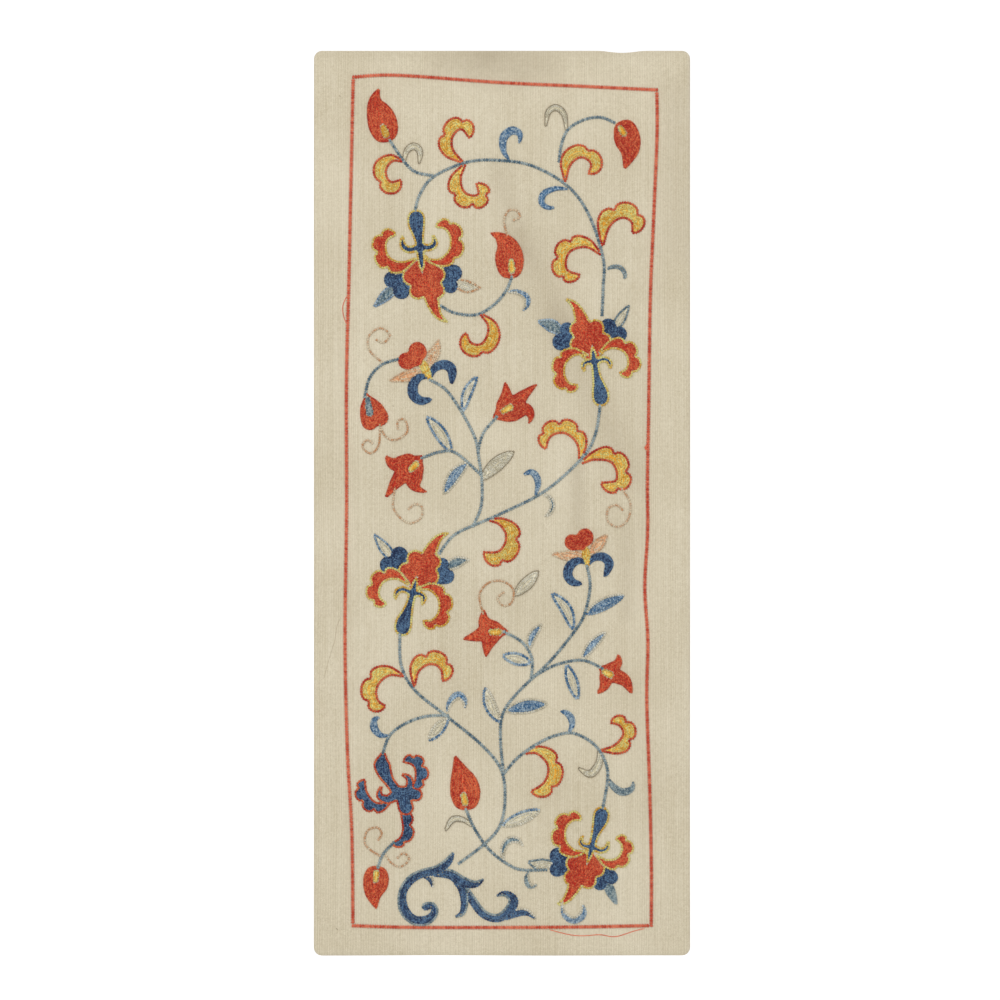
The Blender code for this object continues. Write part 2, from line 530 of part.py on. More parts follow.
def border_cells(grow):
    cells = []
    for first, last in zip(BORDER_CORNERS, (*BORDER_CORNERS[1:], len(BORDER))):
        side = [*BORDER[first:last], BORDER[last % len(BORDER)]]
        cells += stroke([(x, z, LINE_HALF) for x, z in side], grow, step=LINE_STEP)
    return cells


def vine_cells(grow):
    cells = []
    for stem in STEMS:
        cells += stroke([(x, z, STEM_HALF) for x, z in stem["spine"]], grow, rounded=False)
    for leaf in CURLS:
        cells += leaf_cells(leaf, curl_profile, grow)
    for leaf in LENSES:
        cells += leaf_cells(leaf, lens_profile, grow)
    return cells + tendril_cells("vine", grow)


def leaf_cells(leaf, profile, grow, rounded=False):
    return stroke(widened(leaf["spine"], profile, leaf["half"]), grow, rounded=rounded)


def tendril_cells(owner, grow):
    cells = []
    for tendril in TENDRILS:
        if tendril["on"] == owner:
            cells += stroke([(x, z, TENDRIL_HALF) for x, z in tendril["spine"]], grow, step=TENDRIL_STEP)
    return cells


def blossom_cells(place, grow):
    cells = []
    for rows in BLOSSOM_CAP + BLOSSOM_WINGS + BLOSSOM_CRESCENTS:
        cells += stroke(placed(rows, **place), grow)
    return cells


def about(rows, root, turn=0.0, size=1.0):
    """Rows turned and sized about a root, which stays where it is."""
    return placed([(row[0] - root[0], row[1] - root[1], *row[2:]) for row in rows], root, turn, size)


def palmette_strokes(palmette):
    """A palmette's strokes in its own frame."""
    down = (0, -palmette["arms_down"])
    arms = [placed(about(rows, rows[0], size=palmette["arms_size"]), down) for rows in ARMS]
    leaves = [
        about(rows, leaf["root"], **change)
        for leaf, change in zip(SIDE_LEAVES, palmette["leaves"]) for rows in leaf["strokes"]
    ]
    return [DROP, *arms, *FAN, *leaves]


def palmette_cells(palmette, grow):
    place = palmette["place"]
    cells = []
    for rows in palmette_strokes(palmette):
        cells += stroke(placed(rows, **place), grow)
    for petal, change in zip(PETALS, palmette["petals"]):
        spine = placed(about(petal["spine"], petal["spine"][0], size=change["size"]), change["move"])
        moved = {**petal, "width": petal["width"] * change["size"], "spine": placed(spine, **place)}
        cells += lobed(moved, grow, -petal["side"] * place["mirror"])
    return cells


def blue_palmette_cells(grow):
    cells = []
    for rows in BLUE_PALMETTE_STROKES:
        cells += stroke(rows, grow)
    for petal in BLUE_PALMETTE_PETALS:
        cells += lobed(petal, grow, -petal["side"])
    return cells


def strokes_cells(strokes, grow):
    return [cell for rows in strokes for cell in stroke(rows, grow)]


def silk_pieces():
    """Each silk piece as (name, silk, function that gives its cells), the uppermost ones first."""
    pieces = [
        ("border_line", "red", border_cells),
        ("vine", "stem", vine_cells),
        ("root_scroll", "navy", lambda grow: strokes_cells(ROOT_SCROLL, grow)),
        ("lone_crescent", "navy", lambda grow: stroke(CRESCENT, grow)),
        ("blue_palmette", "navy", blue_palmette_cells),
        ("heart_bud", "red",
         lambda grow: strokes_cells(HEART_BUD, grow) + tendril_cells("heart_bud", grow)),
    ]
    for i, palmette in enumerate(PALMETTES, 1):
        pieces.append((f"palmette_{i}", "red", lambda grow, kind=palmette: palmette_cells(kind, grow)))
    for i, place in enumerate(BLOSSOMS, 1):
        pieces.append((f"blossom_{i}", "red", lambda grow, place=place: blossom_cells(place, grow)))
    for i, place in enumerate(TULIPS, 1):
        pieces.append((f"tulip_{i}", "red", lambda grow, place=place, i=i: (
            strokes_cells(place, grow) + tendril_cells(f"tulip_{i}", grow)
            + (leaf_cells(PALE_LEAF, lens_profile, grow) if i == 3 else []))))
    for i, bud in enumerate(BUDS, 1):
        pieces.append((f"bud_{i}", "red", lambda grow, bud=bud, i=i: (
            leaf_cells(bud, bud_profile, grow, True) + tendril_cells(f"bud_{i}", grow))))
    for i, leaf in enumerate(CLOUD_LEAVES, 1):
        pieces.append((f"cloud_leaf_{i}", "gold", lambda grow, leaf=leaf, i=i: (
            lobed(leaf, grow) + tendril_cells(f"cloud_leaf_{i}", grow))))
    return pieces


# Meshes


def box_of(cells):
    xs = [p.x for cell in cells for p in cell]
    zs = [p.y for cell in cells for p in cell]
    return min(xs), min(zs), max(xs), max(zs)


def apart(a, b):
    return a[2] < b[0] or b[2] < a[0] or a[3] < b[1] or b[3] < a[1]


def as_triangles(cells):
    """The cells as triangles whose corners run counterclockwise, without the ones of no area."""
    triangles = []
    for cell in cells:
        first = cell[0].xy
        for second, third in zip(cell[1:], cell[2:]):
            twice = (second.xy - first).cross(third.xy - first)
            if abs(twice) > WELD**2:
                ends = [second.xy, third.xy] if twice > 0 else [third.xy, second.xy]
                triangles.append([first, *ends])
    return triangles


def inside_any(spots, triangles):
    """Which of the spots lie in at least one of the counterclockwise triangles."""
    if not triangles:
        return np.zeros(len(spots), bool)
    spots, corners = np.array(spots)[:, None, :], np.array(triangles)[None]
    inside = np.ones((spots.shape[0], corners.shape[1]), bool)
    for k in range(3):
        start = corners[:, :, k]
        along, away = corners[:, :, (k + 1) % 3] - start, spots - start
        inside &= along[..., 0] * away[..., 1] > along[..., 1] * away[..., 0]
    return inside.any(axis=1)


def flat_union(cells, cutters):
    """A flat mesh of all cells joined into one region, less what the cutters cover."""
    cells = as_triangles(cells)
    room = box_of(cells)
    near = [cell for cell in as_triangles(cutters) if not apart(box_of([cell]), room)]
    points = [point for cell in cells + near for point in cell]
    edges = [(i + k, i + (k + 1) % 3) for i in range(0, len(points), 3) for k in range(3)]
    where, _, triangles, *_ = delaunay_2d_cdt(points, edges, [], 0, WELD)
    middles = [sum((where[i] for i in triangle), Vector((0, 0))) / 3 for triangle in triangles]
    kept = inside_any(middles, cells) & ~inside_any(middles, near)
    flat = bmesh.new()
    corners = [flat.verts.new((p.x, 0.0, p.y)) for p in where]
    for triangle, wanted in zip(triangles, kept):
        if wanted:
            flat.faces.new([corners[i] for i in triangle])
    open_pinches(flat)
    return flat


def open_pinches(flat):
    """Where the region touches itself in a single point, the smallest face there goes."""
    for vert in list(flat.verts):
        while vert.is_valid and sum(edge.is_boundary for edge in vert.link_edges) > 2:
            smallest = min(vert.link_faces, key=lambda face: face.calc_area())
            bmesh.ops.delete(flat, geom=[smallest], context="FACES_KEEP_BOUNDARY")


def simplify(flat):
    """Fewer faces inside the outline, which keeps its corners, and no edge that stays long."""
    inside = [vert for vert in flat.verts if not vert.is_boundary]
    bmesh.ops.dissolve_limit(
        flat, angle_limit=math.radians(FLAT_ENOUGH), verts=inside, edges=flat.edges
    )
    bmesh.ops.triangulate(flat, faces=flat.faces)
    for _ in range(TIMES_SPLIT):
        long = [edge for edge in flat.edges if edge.calc_length() > LONGEST_EDGE]
        bmesh.ops.subdivide_edges(flat, edges=long, cuts=1)
        bmesh.ops.triangulate(flat, faces=flat.faces)


def islands_of(flat):
    """The region's separate islands as lists of face numbers, the uppermost first."""
    flat.faces.index_update()
    left, islands = set(flat.faces), []
    while left:
        island, edge = [], [left.pop()]
        while edge:
            face = edge.pop()
            island.append(face)
            for near in (f for e in face.edges for f in e.link_faces if f in left):
                left.discard(near)
                edge.append(near)
        if sum(face.calc_area() for face in island) > SMALLEST_ISLAND:
            islands.append(island)
    islands.sort(key=lambda island: -max(vert.co.z for face in island for vert in face.verts))
    return [{face.index for face in island} for island in islands]


def only_faces(flat, numbers):
    """A copy of the region with these faces only, so that a piece is one body."""
    piece = flat.copy()
    spare = [face for face in piece.faces if face.index not in numbers]
    bmesh.ops.delete(piece, geom=spare, context="FACES")
    bmesh.ops.delete(piece, geom=[v for v in piece.verts if not v.link_faces], context="VERTS")
    return piece


def face_front(flat):
    bmesh.ops.recalc_face_normals(flat, faces=flat.faces)
    if sum(face.normal.y * face.calc_area() for face in flat.faces) > 0:
        bmesh.ops.reverse_faces(flat, faces=flat.faces)


def relief_mesh(name, flat):
    """The flat region laid over the cloth's face, with a gap, ready to be given its thickness."""
    for vert in flat.verts:
        vert.co.y = face_y(vert.co.x, vert.co.z) - GAP
    face_front(flat)
    bmesh.ops.scale(flat, vec=(MM, MM, MM), verts=flat.verts)
    mesh = bpy.data.meshes.new(name)
    flat.to_mesh(mesh)
    flat.free()
    return mesh


def thicken(piece, thickness, offset):
    shell = piece.modifiers.new("Thickness", "SOLIDIFY")
    shell.thickness = thickness * MM
    shell.offset = offset
    shell.use_even_offset = False
    return shell


def cloth_mesh():
    """The panel's face as a grid with round corners, and its hems marked for a double thickness."""
    half = WIDTH / 2
    hem_in, hem_out = half - SIDE_HEM - HEM_STEP, half - SIDE_HEM
    columns = (
        even_stops(-half, -hem_out, GRID) + even_stops(-hem_in, hem_in, GRID)
        + even_stops(hem_out, half, GRID)
    )
    low, high = -HEIGHT + BOTTOM_HEM, -TOP_HEM
    rows = (
        even_stops(-HEIGHT, low, GRID) + even_stops(low + HEM_STEP, high - HEM_STEP, GRID)
        + even_stops(high, 0.0, GRID)
    )
    last_column, last_row = len(columns) - 1, len(rows) - 1
    grid = bmesh.new()
    bmesh.ops.create_grid(grid, x_segments=last_column, y_segments=last_row, size=0.5)
    marks = grid.verts.layers.deform.verify()
    corners = []
    for vert in grid.verts:
        i = round((vert.co.x + 0.5) * last_column)
        j = round((vert.co.y + 0.5) * last_row)
        vert.co = (columns[i], 0.0, rows[j])
        hemmed = abs(columns[i]) > hem_in + HEM_STEP / 2 or not low < rows[j] < high
        vert[marks][0] = 1.0 if hemmed else 0.0
        if i in (0, last_column) and j in (0, last_row):
            corners.append(vert)
    bmesh.ops.bevel(
        grid, geom=corners, offset=CORNER_RADIUS, segments=4, affect="VERTICES", profile=0.5
    )
    for vert in grid.verts:
        x, z = vert.co.x, vert.co.z
        if z > -CORNER_RADIUS / 2 and TOP_DIP["from"] < x < TOP_DIP["to"]:
            share = (x - TOP_DIP["from"]) / (TOP_DIP["to"] - TOP_DIP["from"])
            z -= TOP_DIP["depth"] * math.sin(math.pi * share) ** 2
        vert.co = (x, face_y(x, z), z)
        if abs(x) > hem_out or not low < z < high:
            vert[marks][0] = 1.0
    bmesh.ops.triangulate(grid, faces=grid.faces)
    face_front(grid)
    bmesh.ops.scale(grid, vec=(MM, MM, MM), verts=grid.verts)
    mesh = bpy.data.meshes.new("ground_cloth")
    grid.to_mesh(mesh)
    grid.free()
    return mesh


def main():
    for old in list(bpy.data.objects):
        bpy.data.objects.remove(old)
    collection = bpy.data.collections.new("embroidered_wall_hanging")
    bpy.context.scene.collection.children.link(collection)
    hanger = bpy.data.objects.new("hanging_point", None)
    collection.objects.link(hanger)

    cotton = material("cotton_ground", COTTON, 0.9)
    cloth = add_object("ground_cloth", cloth_mesh(), cotton, collection, hanger)
    cloth.vertex_groups.new(name="turned_hem")
    shell = thicken(cloth, HEMMED, -1)
    shell.vertex_group = "turned_hem"
    shell.thickness_vertex_group = CLOTH / HEMMED

    silks = {name: material(f"silk_{name}", color, 0.45) for name, color in SILKS.items()}
    cutters = []
    for name, silk, cells_of in silk_pieces():
        flat = flat_union(cells_of(0.0), cutters)
        islands = islands_of(flat)
        for number, faces in enumerate(islands, 1):
            island_name = name if len(islands) == 1 else f"{name}_{number}"
            piece_flat = only_faces(flat, faces)
            simplify(piece_flat)
            mesh = relief_mesh(island_name, piece_flat)
            piece = add_object(island_name, mesh, silks[silk], collection, hanger)
            thicken(piece, SILK, 1)
        flat.free()
        cutters += cells_of(GAP)


main()
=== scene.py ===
# %% [markdown]
# # A small embroidered wall hanging
# A hemmed cotton panel hangs by its top edge, and a vine of silk flowers climbs it inside a red
# line. All of the silk is chain stitch: rows of small looped links, each one holding the next.
# The cloth is made here as one thin sheet. The silk is thousands of stitches, which Geometry Nodes
# lay along rows that follow each petal's own outline, as the embroiderer's needle does.
# Tables and sizes are in millimetres, as (across from the middle, up from the top edge).

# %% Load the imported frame
import math

import bmesh
import bpy
import numpy as np
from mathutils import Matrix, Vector


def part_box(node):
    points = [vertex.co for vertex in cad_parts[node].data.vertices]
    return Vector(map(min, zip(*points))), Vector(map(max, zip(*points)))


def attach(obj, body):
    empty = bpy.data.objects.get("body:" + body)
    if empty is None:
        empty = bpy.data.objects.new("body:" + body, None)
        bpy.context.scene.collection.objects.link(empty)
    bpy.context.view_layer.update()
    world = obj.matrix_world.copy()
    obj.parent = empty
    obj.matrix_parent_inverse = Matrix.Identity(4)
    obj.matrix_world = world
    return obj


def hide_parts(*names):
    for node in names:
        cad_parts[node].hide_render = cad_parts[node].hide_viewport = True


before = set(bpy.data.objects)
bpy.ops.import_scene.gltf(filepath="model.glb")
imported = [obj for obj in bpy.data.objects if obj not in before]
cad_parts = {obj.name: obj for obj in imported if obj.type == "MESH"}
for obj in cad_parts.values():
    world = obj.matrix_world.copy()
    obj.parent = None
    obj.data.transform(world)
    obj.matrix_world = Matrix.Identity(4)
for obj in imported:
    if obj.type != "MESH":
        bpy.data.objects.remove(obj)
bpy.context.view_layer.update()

MM = 0.001
cloth_low, cloth_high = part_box("ground_cloth")
WIDTH, HEIGHT = 188.0, 452.0
print("The panel's box in the frame:", cloth_low, cloth_high)

# %% [markdown]
# ## Camera, light, floor and backdrop
# The panel is seen square on, from far enough away that its sides stay parallel. A long lens does
# that. The light is soft and comes from above and a little from the left, so that each row of silk
# has a bright and a dark side. A broad pale sky fills the shadows. The floor and the backdrop stand
# well clear of the panel, so that it can be looked at from the back too.

# %% Camera
LENS = 135.0
VIEW_WIDTH = 500.0
VIEW_CENTRE = (-1.0, -224.5)

camera_data = bpy.data.cameras.new("camera")
camera_data.lens = LENS
camera_data.clip_end = 20.0
camera = bpy.data.objects.new("camera", camera_data)
distance = VIEW_WIDTH * MM * LENS / camera_data.sensor_width
camera.location = (VIEW_CENTRE[0] * MM, -distance, VIEW_CENTRE[1] * MM)
camera.rotation_euler = (math.radians(90), 0, 0)
bpy.context.collection.objects.link(camera)
bpy.context.scene.camera = camera
bpy.context.scene.view_settings.view_transform = "Standard"
print("Camera distance in m:", round(distance, 3))

# %% Lights
LIGHTS = [
    {"name": "key_light", "at": (-1.1, -1.6, 1.2), "size": 0.9, "watts": 13.0},
    {"name": "fill_light", "at": (1.3, -1.9, 0.1), "size": 1.2, "watts": 6.0},
    {"name": "back_light", "at": (0.6, 2.0, 1.0), "size": 1.2, "watts": 18.0},
]
SKY = 0.68

middle = Vector((VIEW_CENTRE[0] * MM, 0.0, VIEW_CENTRE[1] * MM))
for row in LIGHTS:
    lamp = bpy.data.lights.new(row["name"], "AREA")
    lamp.size, lamp.energy = row["size"], row["watts"]
    light = bpy.data.objects.new(row["name"], lamp)
    light.location = row["at"]
    light.rotation_euler = (middle - light.location).to_track_quat("-Z", "Y").to_euler()
    bpy.context.collection.objects.link(light)

world = bpy.data.worlds.new("pale_sky")
world.use_nodes = True
bpy.context.scene.world = world
sky = world.node_tree.nodes["Background"]
sky.inputs["Color"].default_value = (1.0, 1.0, 1.0, 1.0)
sky.inputs["Strength"].default_value = SKY
print("Lights:", [row["name"] for row in LIGHTS])

# %% Floor and backdrop
FLOOR_DROP = 1.2
BACKDROP_AWAY = 2.6
STAGE_HALF = 6.0


def plain_paint(name, color, glow=0.0):
    """One even pale paint, which may glow a little to stay white."""
    paint = bpy.data.materials.new(name)
    paint.use_nodes = True
    shader = paint.node_tree.nodes["Principled BSDF"]
    shader.inputs["Base Color"].default_value = (*color, 1.0)
    shader.inputs["Roughness"].default_value = 0.9
    shader.inputs["Emission Color"].default_value = (1.0, 1.0, 1.0, 1.0)
    shader.inputs["Emission Strength"].default_value = glow
    return paint


def stage_plane(name, corners, paint):
    mesh = bpy.data.meshes.new(name)
    mesh.from_pydata(corners, [], [(0, 1, 2, 3)])
    mesh.materials.append(paint)
    plane = bpy.data.objects.new(name, mesh)
    bpy.context.collection.objects.link(plane)


floor_z = -HEIGHT * MM - FLOOR_DROP
half, away = STAGE_HALF, BACKDROP_AWAY
stage_plane("floor", [(-half, -half, floor_z), (half, -half, floor_z), (half, away, floor_z),
                      (-half, away, floor_z)], plain_paint("floor_paint", (0.86, 0.85, 0.83)))
stage_plane("backdrop", [(-half, away, floor_z), (half, away, floor_z), (half, away, half),
                         (-half, away, half)], plain_paint("backdrop_paint", (0.9, 0.9, 0.9), 0.35))
print("Floor at z", round(floor_z, 3), "and backdrop at y", away)

# %% [markdown]
# ## How the cloth hangs
# The panel lies flat against its batten at the top, and lower down it stands off in soft waves. The
# part gives those waves, and the same numbers are used here, so that the sheet and each stitch
# sit on the same face. A few soft creases are added, where the real cloth has a shadow.

# %% The cloth's face
CLOTH = 1.0
HEMMED = 2 * CLOTH
LIE_START, LIE_FULL = -14.0, -90.0
LIE_MEAN = 0.9
LIE_WAVES = [
    {"height": 0.5, "across": 150.0, "down": 400.0, "phase": 0.6},
    {"height": 0.35, "across": 95.0, "down": -260.0, "phase": 2.1},
]
# Each crease is a soft trough along a short line, with the width and depth at its middle.
CREASES = [
    {"from": (37.5, -206), "to": (37.5, -240), "half": 4.0, "depth": 0.35},
    {"from": (61.0, -240), "to": (62.5, -280), "half": 4.0, "depth": 0.35},
    {"from": (1.0, -66), "to": (22.0, -122), "half": 6.0, "depth": 0.3},
    {"from": (40.0, -150), "to": (64.0, -214), "half": 6.0, "depth": 0.3},
    {"from": (-84.0, -372), "to": (-81.0, -430), "half": 4.0, "depth": 0.3},
    {"from": (84.0, -28), "to": (86.0, -95), "half": 4.0, "depth": 0.3},
]


def smoothstep(low, high, value):
    share = np.clip((value - low) / (high - low), 0.0, 1.0)
    return share * share * (3 - 2 * share)


def along_line(across, up, start, end):
    """How far off a line each place lies in mm, and its share of the way along the line."""
    run = np.subtract(end, start)
    length = np.hypot(*run)
    x, z = across - start[0], up - start[1]
    share = (x * run[0] + z * run[1]) / length**2
    return np.abs(x * run[1] - z * run[0]) / length, share


def crease_depth(across, up):
    depth = 0.0
    for crease in CREASES:
        off, share = along_line(across, up, crease["from"], crease["to"])
        ends = np.sin(np.pi * np.clip(share, 0.0, 1.0)) ** 2
        depth = depth + crease["depth"] * ends * np.exp(-((off / crease["half"]) ** 2))
    return depth


def face_y(across, up):
    """The Y of the cloth's face in mm, for one place or for arrays of them."""
    lie = LIE_MEAN
    for wave in LIE_WAVES:
        lie = lie + wave["height"] * np.sin(
            2 * np.pi * (across / wave["across"] + up / wave["down"]) + wave["phase"]
        )
    lie = lie - crease_depth(across, up)
    return -HEMMED - lie * smoothstep(LIE_START, LIE_FULL, up)


print("The face at the panel's middle, in mm:", round(float(face_y(0.0, -HEIGHT / 2)), 2))

# %% [markdown]
# ## Curves and leaf shapes
# A maker draws each motif on the cloth before stitching it. Here a motif is a few strokes: a smooth
# line with a half width at each row, like a brush stroke. A stroke becomes a strip of four-cornered
# cells. Lobed leaves have a smooth inner edge and round lobes outside it.

# %% Strokes
STEP = 1.5
POINT_HALF = 0.05

# A lobed leaf's width as a share of the whole at its root, where along its spine it is full and
# where its tip starts, how deep its notches are, where along its outer edge the lobes start, and
# how its tip thins.
ROOT_WIDE, ROOT_FULL, TIP_START = 0.2, 0.48, 0.68
NOTCH, ROOT_ARC, TIP_POINT = 0.33, 0.13, 0.7
LOBE_STEPS = 12
NEARLY = 1.0e-6
# Where a bud is fullest
BUD_FULL = 0.33
CAP_SIDES = 8


def curve_through(rows, step=STEP):
    """Rows about one step apart on a smooth curve through the given rows, whatever their length."""
    last = len(rows) - 1
    line = []
    for i in range(last):
        a, b, c, d = (Vector(rows[min(max(j, 0), last)]) for j in (i - 1, i, i + 1, i + 2))
        pieces = max(1, round((c.xy - b.xy).length / step))
        for k in range(pieces):
            t = k / pieces
            line.append(
                0.5 * (2 * b + (c - a) * t + (2 * a - 5 * b + 4 * c - d) * t**2
                       + (3 * b - a - 3 * c + d) * t**3)
            )
    line.append(Vector(rows[-1]))
    return line


def directions(line):
    """The way the line runs at each of its points."""
    last = len(line) - 1
    return [(line[min(i + 1, last)].xy - line[max(i - 1, 0)].xy).normalized() for i in range(last + 1)]


def stroke(rows, grow=0.0, rounded=True):
    """The cells of a tapering stroke, whose rows are (across, up, half width)."""
    line = curve_through(rows)
    ways = directions(line)
    left, right = [], []
    for point, way in zip(line, ways):
        side = way.orthogonal() * (max(point.z, POINT_HALF) + grow)
        left.append(point.xy + side)
        right.append(point.xy - side)
    cells = [[left[i], right[i], right[i + 1], left[i + 1]] for i in range(len(line) - 1)]
    if rounded:
        cells += [cap(line[-1], ways[-1], grow), cap(line[0], -ways[0], grow)]
    return cells


def cap(point, way, grow):
    """A half round end on a stroke."""
    reach = max(point.z, POINT_HALF) + grow
    start = math.atan2(way.y, way.x) - math.pi / 2
    turns = [start + math.pi * i / CAP_SIDES for i in range(CAP_SIDES + 1)]
    return [point.xy + reach * Vector((math.cos(turn), math.sin(turn))) for turn in turns]


def widened(spine, profile, half):
    """A spine with a half width at each place, as the profile gives it from 0 to 1 along the spine."""
    line = curve_through([(*row, 0.0) for row in spine], STEP / 2)
    last = len(line) - 1
    return [(point.x, point.y, half * profile(i / last)) for i, point in enumerate(line)]


def curl_profile(share):
    return 0.28 + 0.72 * math.sin(math.pi * share**1.15) - 0.24 * share


def lens_profile(share):
    return 0.08 + 0.92 * math.sin(math.pi * share) ** 0.85


def bud_profile(share):
    """A round base, fullest at a third of the length, then a long point."""
    if share < BUD_FULL:
        return math.sqrt(max(1 - (1 - share / BUD_FULL) ** 2, 0.0))
    return math.cos(math.pi / 2 * (share - BUD_FULL) / (1 - BUD_FULL)) ** 1.5


def placed(rows, at, turn=0.0, size=1.0, mirror=1):
    """A design's rows turned, sized, mirrored and moved to their place on the panel."""
    angle = math.radians(turn)
    moved = []
    for across, up, *rest in rows:
        x, z = across * size * mirror, up * size
        moved.append((
            at[0] + x * math.cos(angle) - z * math.sin(angle),
            at[1] + x * math.sin(angle) + z * math.cos(angle),
            *(value * size for value in rest),
        ))
    return moved


def about(rows, root, turn=0.0, size=1.0):
    """Rows turned and sized about a root, which stays where it is."""
    return placed([(row[0] - root[0], row[1] - root[1], *row[2:]) for row in rows], root, turn, size)


# %% Lobed leaves


def lobed(leaf, grow=0.0, side=None):
    """The cells of a cloud leaf or petal: a smooth inner edge, with round lobes along the outside."""
    line = curve_through([Vector(row) for row in leaf["spine"]], STEP / 2)
    ways = directions(line)
    if side is None:
        side = outer_side(line)
    outs = [Vector((-way.y, way.x)) * side for way in ways]
    last = len(line) - 1
    reaches = [leaf["width"] * leaf_width(i / last) for i in range(last + 1)]
    edge = [point + out * reach for point, out, reach in zip(line, outs, reaches)]
    arc = [0.0]
    for a, b in zip(edge, edge[1:]):
        arc.append(arc[-1] + (b - a).length)
    inner, outer = [], []
    steps = LOBE_STEPS * leaf["lobes"]
    for share in [0.0] + [ROOT_ARC + (1.0 - ROOT_ARC) * i / steps for i in range(steps + 1)]:
        low = min(max(i for i in range(last + 1) if arc[i] <= share * arc[-1] + NEARLY), last - 1)
        mix = min((share * arc[-1] - arc[low]) / max(arc[low + 1] - arc[low], NEARLY), 1.0)
        point, out = line[low].lerp(line[low + 1], mix), outs[low].lerp(outs[low + 1], mix)
        reach = reaches[low] + (reaches[low + 1] - reaches[low]) * mix
        inner.append(point - out * grow)
        outer.append(point + out * (reach * (1.0 - notch(share, leaf["lobes"])) + grow))
    return [[inner[i], outer[i], outer[i + 1], inner[i + 1]] for i in range(len(inner) - 1)]


def leaf_width(share):
    """How wide a cloud leaf is along its spine: narrow at the root, full, then a round tip that thins out."""
    width = ROOT_WIDE + (1.0 - ROOT_WIDE) * smoothstep(0.0, ROOT_FULL, share)
    past = max(share - TIP_START, 0.0) / (1.0 - TIP_START)
    return float(width * max(1.0 - past**2, 0.0) ** TIP_POINT)


def notch(share, lobes):
    """How deep the outer edge dips between two lobes, for a share of the way along that edge."""
    place = (share - ROOT_ARC) / (1.0 - ROOT_ARC) * lobes
    nearest = round(place)
    if nearest < 1 or nearest >= lobes:
        return 0.0
    return NOTCH * (1.0 - math.sqrt(max(1.0 - (1.0 - 2 * abs(place - nearest)) ** 2, 0.0)))


def outer_side(line):
    """The side that lies outside the bend of a leaf's spine: 1 for left, -1 for right."""
    turn = 0.0
    for a, b, c in zip(line, line[1:], line[2:]):
        turn += (b - a).cross(c - b)
    return -1 if turn > 0 else 1


print("Strokes are cut into steps of", STEP, "mm")

# %% [markdown]
# ## From a shape to rows of stitches
# An embroiderer works the outline first, then goes round and round inside it, each row snug
# against the last. So each row is a line at one depth inside the shape. The depths come from a fine
# grid of spots: how far each spot inside the shape is from the nearest spot outside it. Where a
# motif passes under another one, its rows stop. Below the rows lie straight laid threads of the same
# silk, so that no cotton shows between them.

# %% How deep each spot lies inside a shape
FINE = 0.25
FAR = 1.0e6
MARGIN = 5


def mark_cells(mask, corner, cells):
    """Sets the mask's spots that lie in the cells. The corner is the place of the first spot."""
    for cell in cells:
        for second, third in zip(cell[1:], cell[2:]):
            mark_triangle(mask, corner, np.array([cell[0].xy, second.xy, third.xy]))


def mark_triangle(mask, corner, ends):
    first = np.maximum(np.floor((ends.min(axis=0) - corner) / FINE).astype(int), 0)
    last = np.ceil((ends.max(axis=0) - corner) / FINE).astype(int) + 1
    x = corner[0] + FINE * np.arange(first[0], last[0])[:, None]
    z = corner[1] + FINE * np.arange(first[1], last[1])[None, :]
    turns = []
    for k in range(3):
        start, end = ends[k], ends[(k + 1) % 3]
        turns.append((end[0] - start[0]) * (z - start[1]) - (end[1] - start[1]) * (x - start[0]))
    within = ((turns[0] >= 0) & (turns[1] >= 0) & (turns[2] >= 0)) | (
        (turns[0] <= 0) & (turns[1] <= 0) & (turns[2] <= 0)
    )
    room = mask[first[0]:last[0], first[1]:last[1]]
    room |= within[:room.shape[0], :room.shape[1]]


def shape_mask(cells):
    """A mask of the spots inside the joined cells, and the place of its first spot."""
    points = np.array([point.xy for cell in cells for point in cell])
    corner = points.min(axis=0) - MARGIN * FINE
    spots = np.ceil((points.max(axis=0) - corner) / FINE).astype(int) + MARGIN + 1
    mask = np.zeros(spots, bool)
    mark_cells(mask, corner, cells)
    return mask, corner


def least_cost(cost):
    """For each spot, the least of a spot's cost in the same column plus its distance squared."""
    spots = np.arange(cost.shape[0], dtype=np.float32)
    apart = (spots[:, None] - spots[None, :]) ** 2
    return np.array([(apart + column[None, :]).min(axis=1) for column in cost.T]).T


def depth_inside(mask):
    """The distance in mm from each spot inside to the outline, softened a little."""
    squared = least_cost(least_cost((mask * FAR).astype(np.float32)).T).T
    depth = np.maximum(np.sqrt(squared) - 0.5, 0.0) * FINE
    for axis in (0, 1, 0, 1):
        depth = (np.roll(depth, 1, axis) + 2 * depth + np.roll(depth, -1, axis)) / 4
    return depth


# %% Lines at one depth


def depth_lines(depth, corner, level):
    """Closed lines, as arrays of places in mm, where the depth passes the level."""
    deep = depth > level
    count = deep[:-1, :-1].astype(int) + deep[1:, :-1] + deep[:-1, 1:] + deep[1:, 1:]
    joined = {}
    for i, j in zip(*np.nonzero((count > 0) & (count < 4))):
        ring = [(i, j), (i + 1, j), (i + 1, j + 1), (i, j + 1)]
        sides = zip(ring, ring[1:] + ring[:1])
        cuts = [tuple(sorted(side)) for side in sides if deep[side[0]] != deep[side[1]]]
        for one, other in zip(cuts[::2], cuts[1::2]):
            joined.setdefault(one, []).append(other)
            joined.setdefault(other, []).append(one)
    lines = []
    while joined:
        start, ways = joined.popitem()
        chain, spot = [start], ways[0]
        while spot != start:
            chain.append(spot)
            one, other = joined.pop(spot)
            spot = other if one == chain[-2] else one
        places = []
        for a, b in chain:
            share = (level - depth[a]) / (depth[b] - depth[a])
            places.append(np.array(a) + share * (np.array(b) - np.array(a)))
        places = np.array(places) * FINE + corner
        for _ in range(2):
            places = (np.roll(places, 1, axis=0) + 2 * places + np.roll(places, -1, axis=0)) / 4
        places = places[::2]
        lines.append(np.vstack([places, places[:1]]))
    return lines


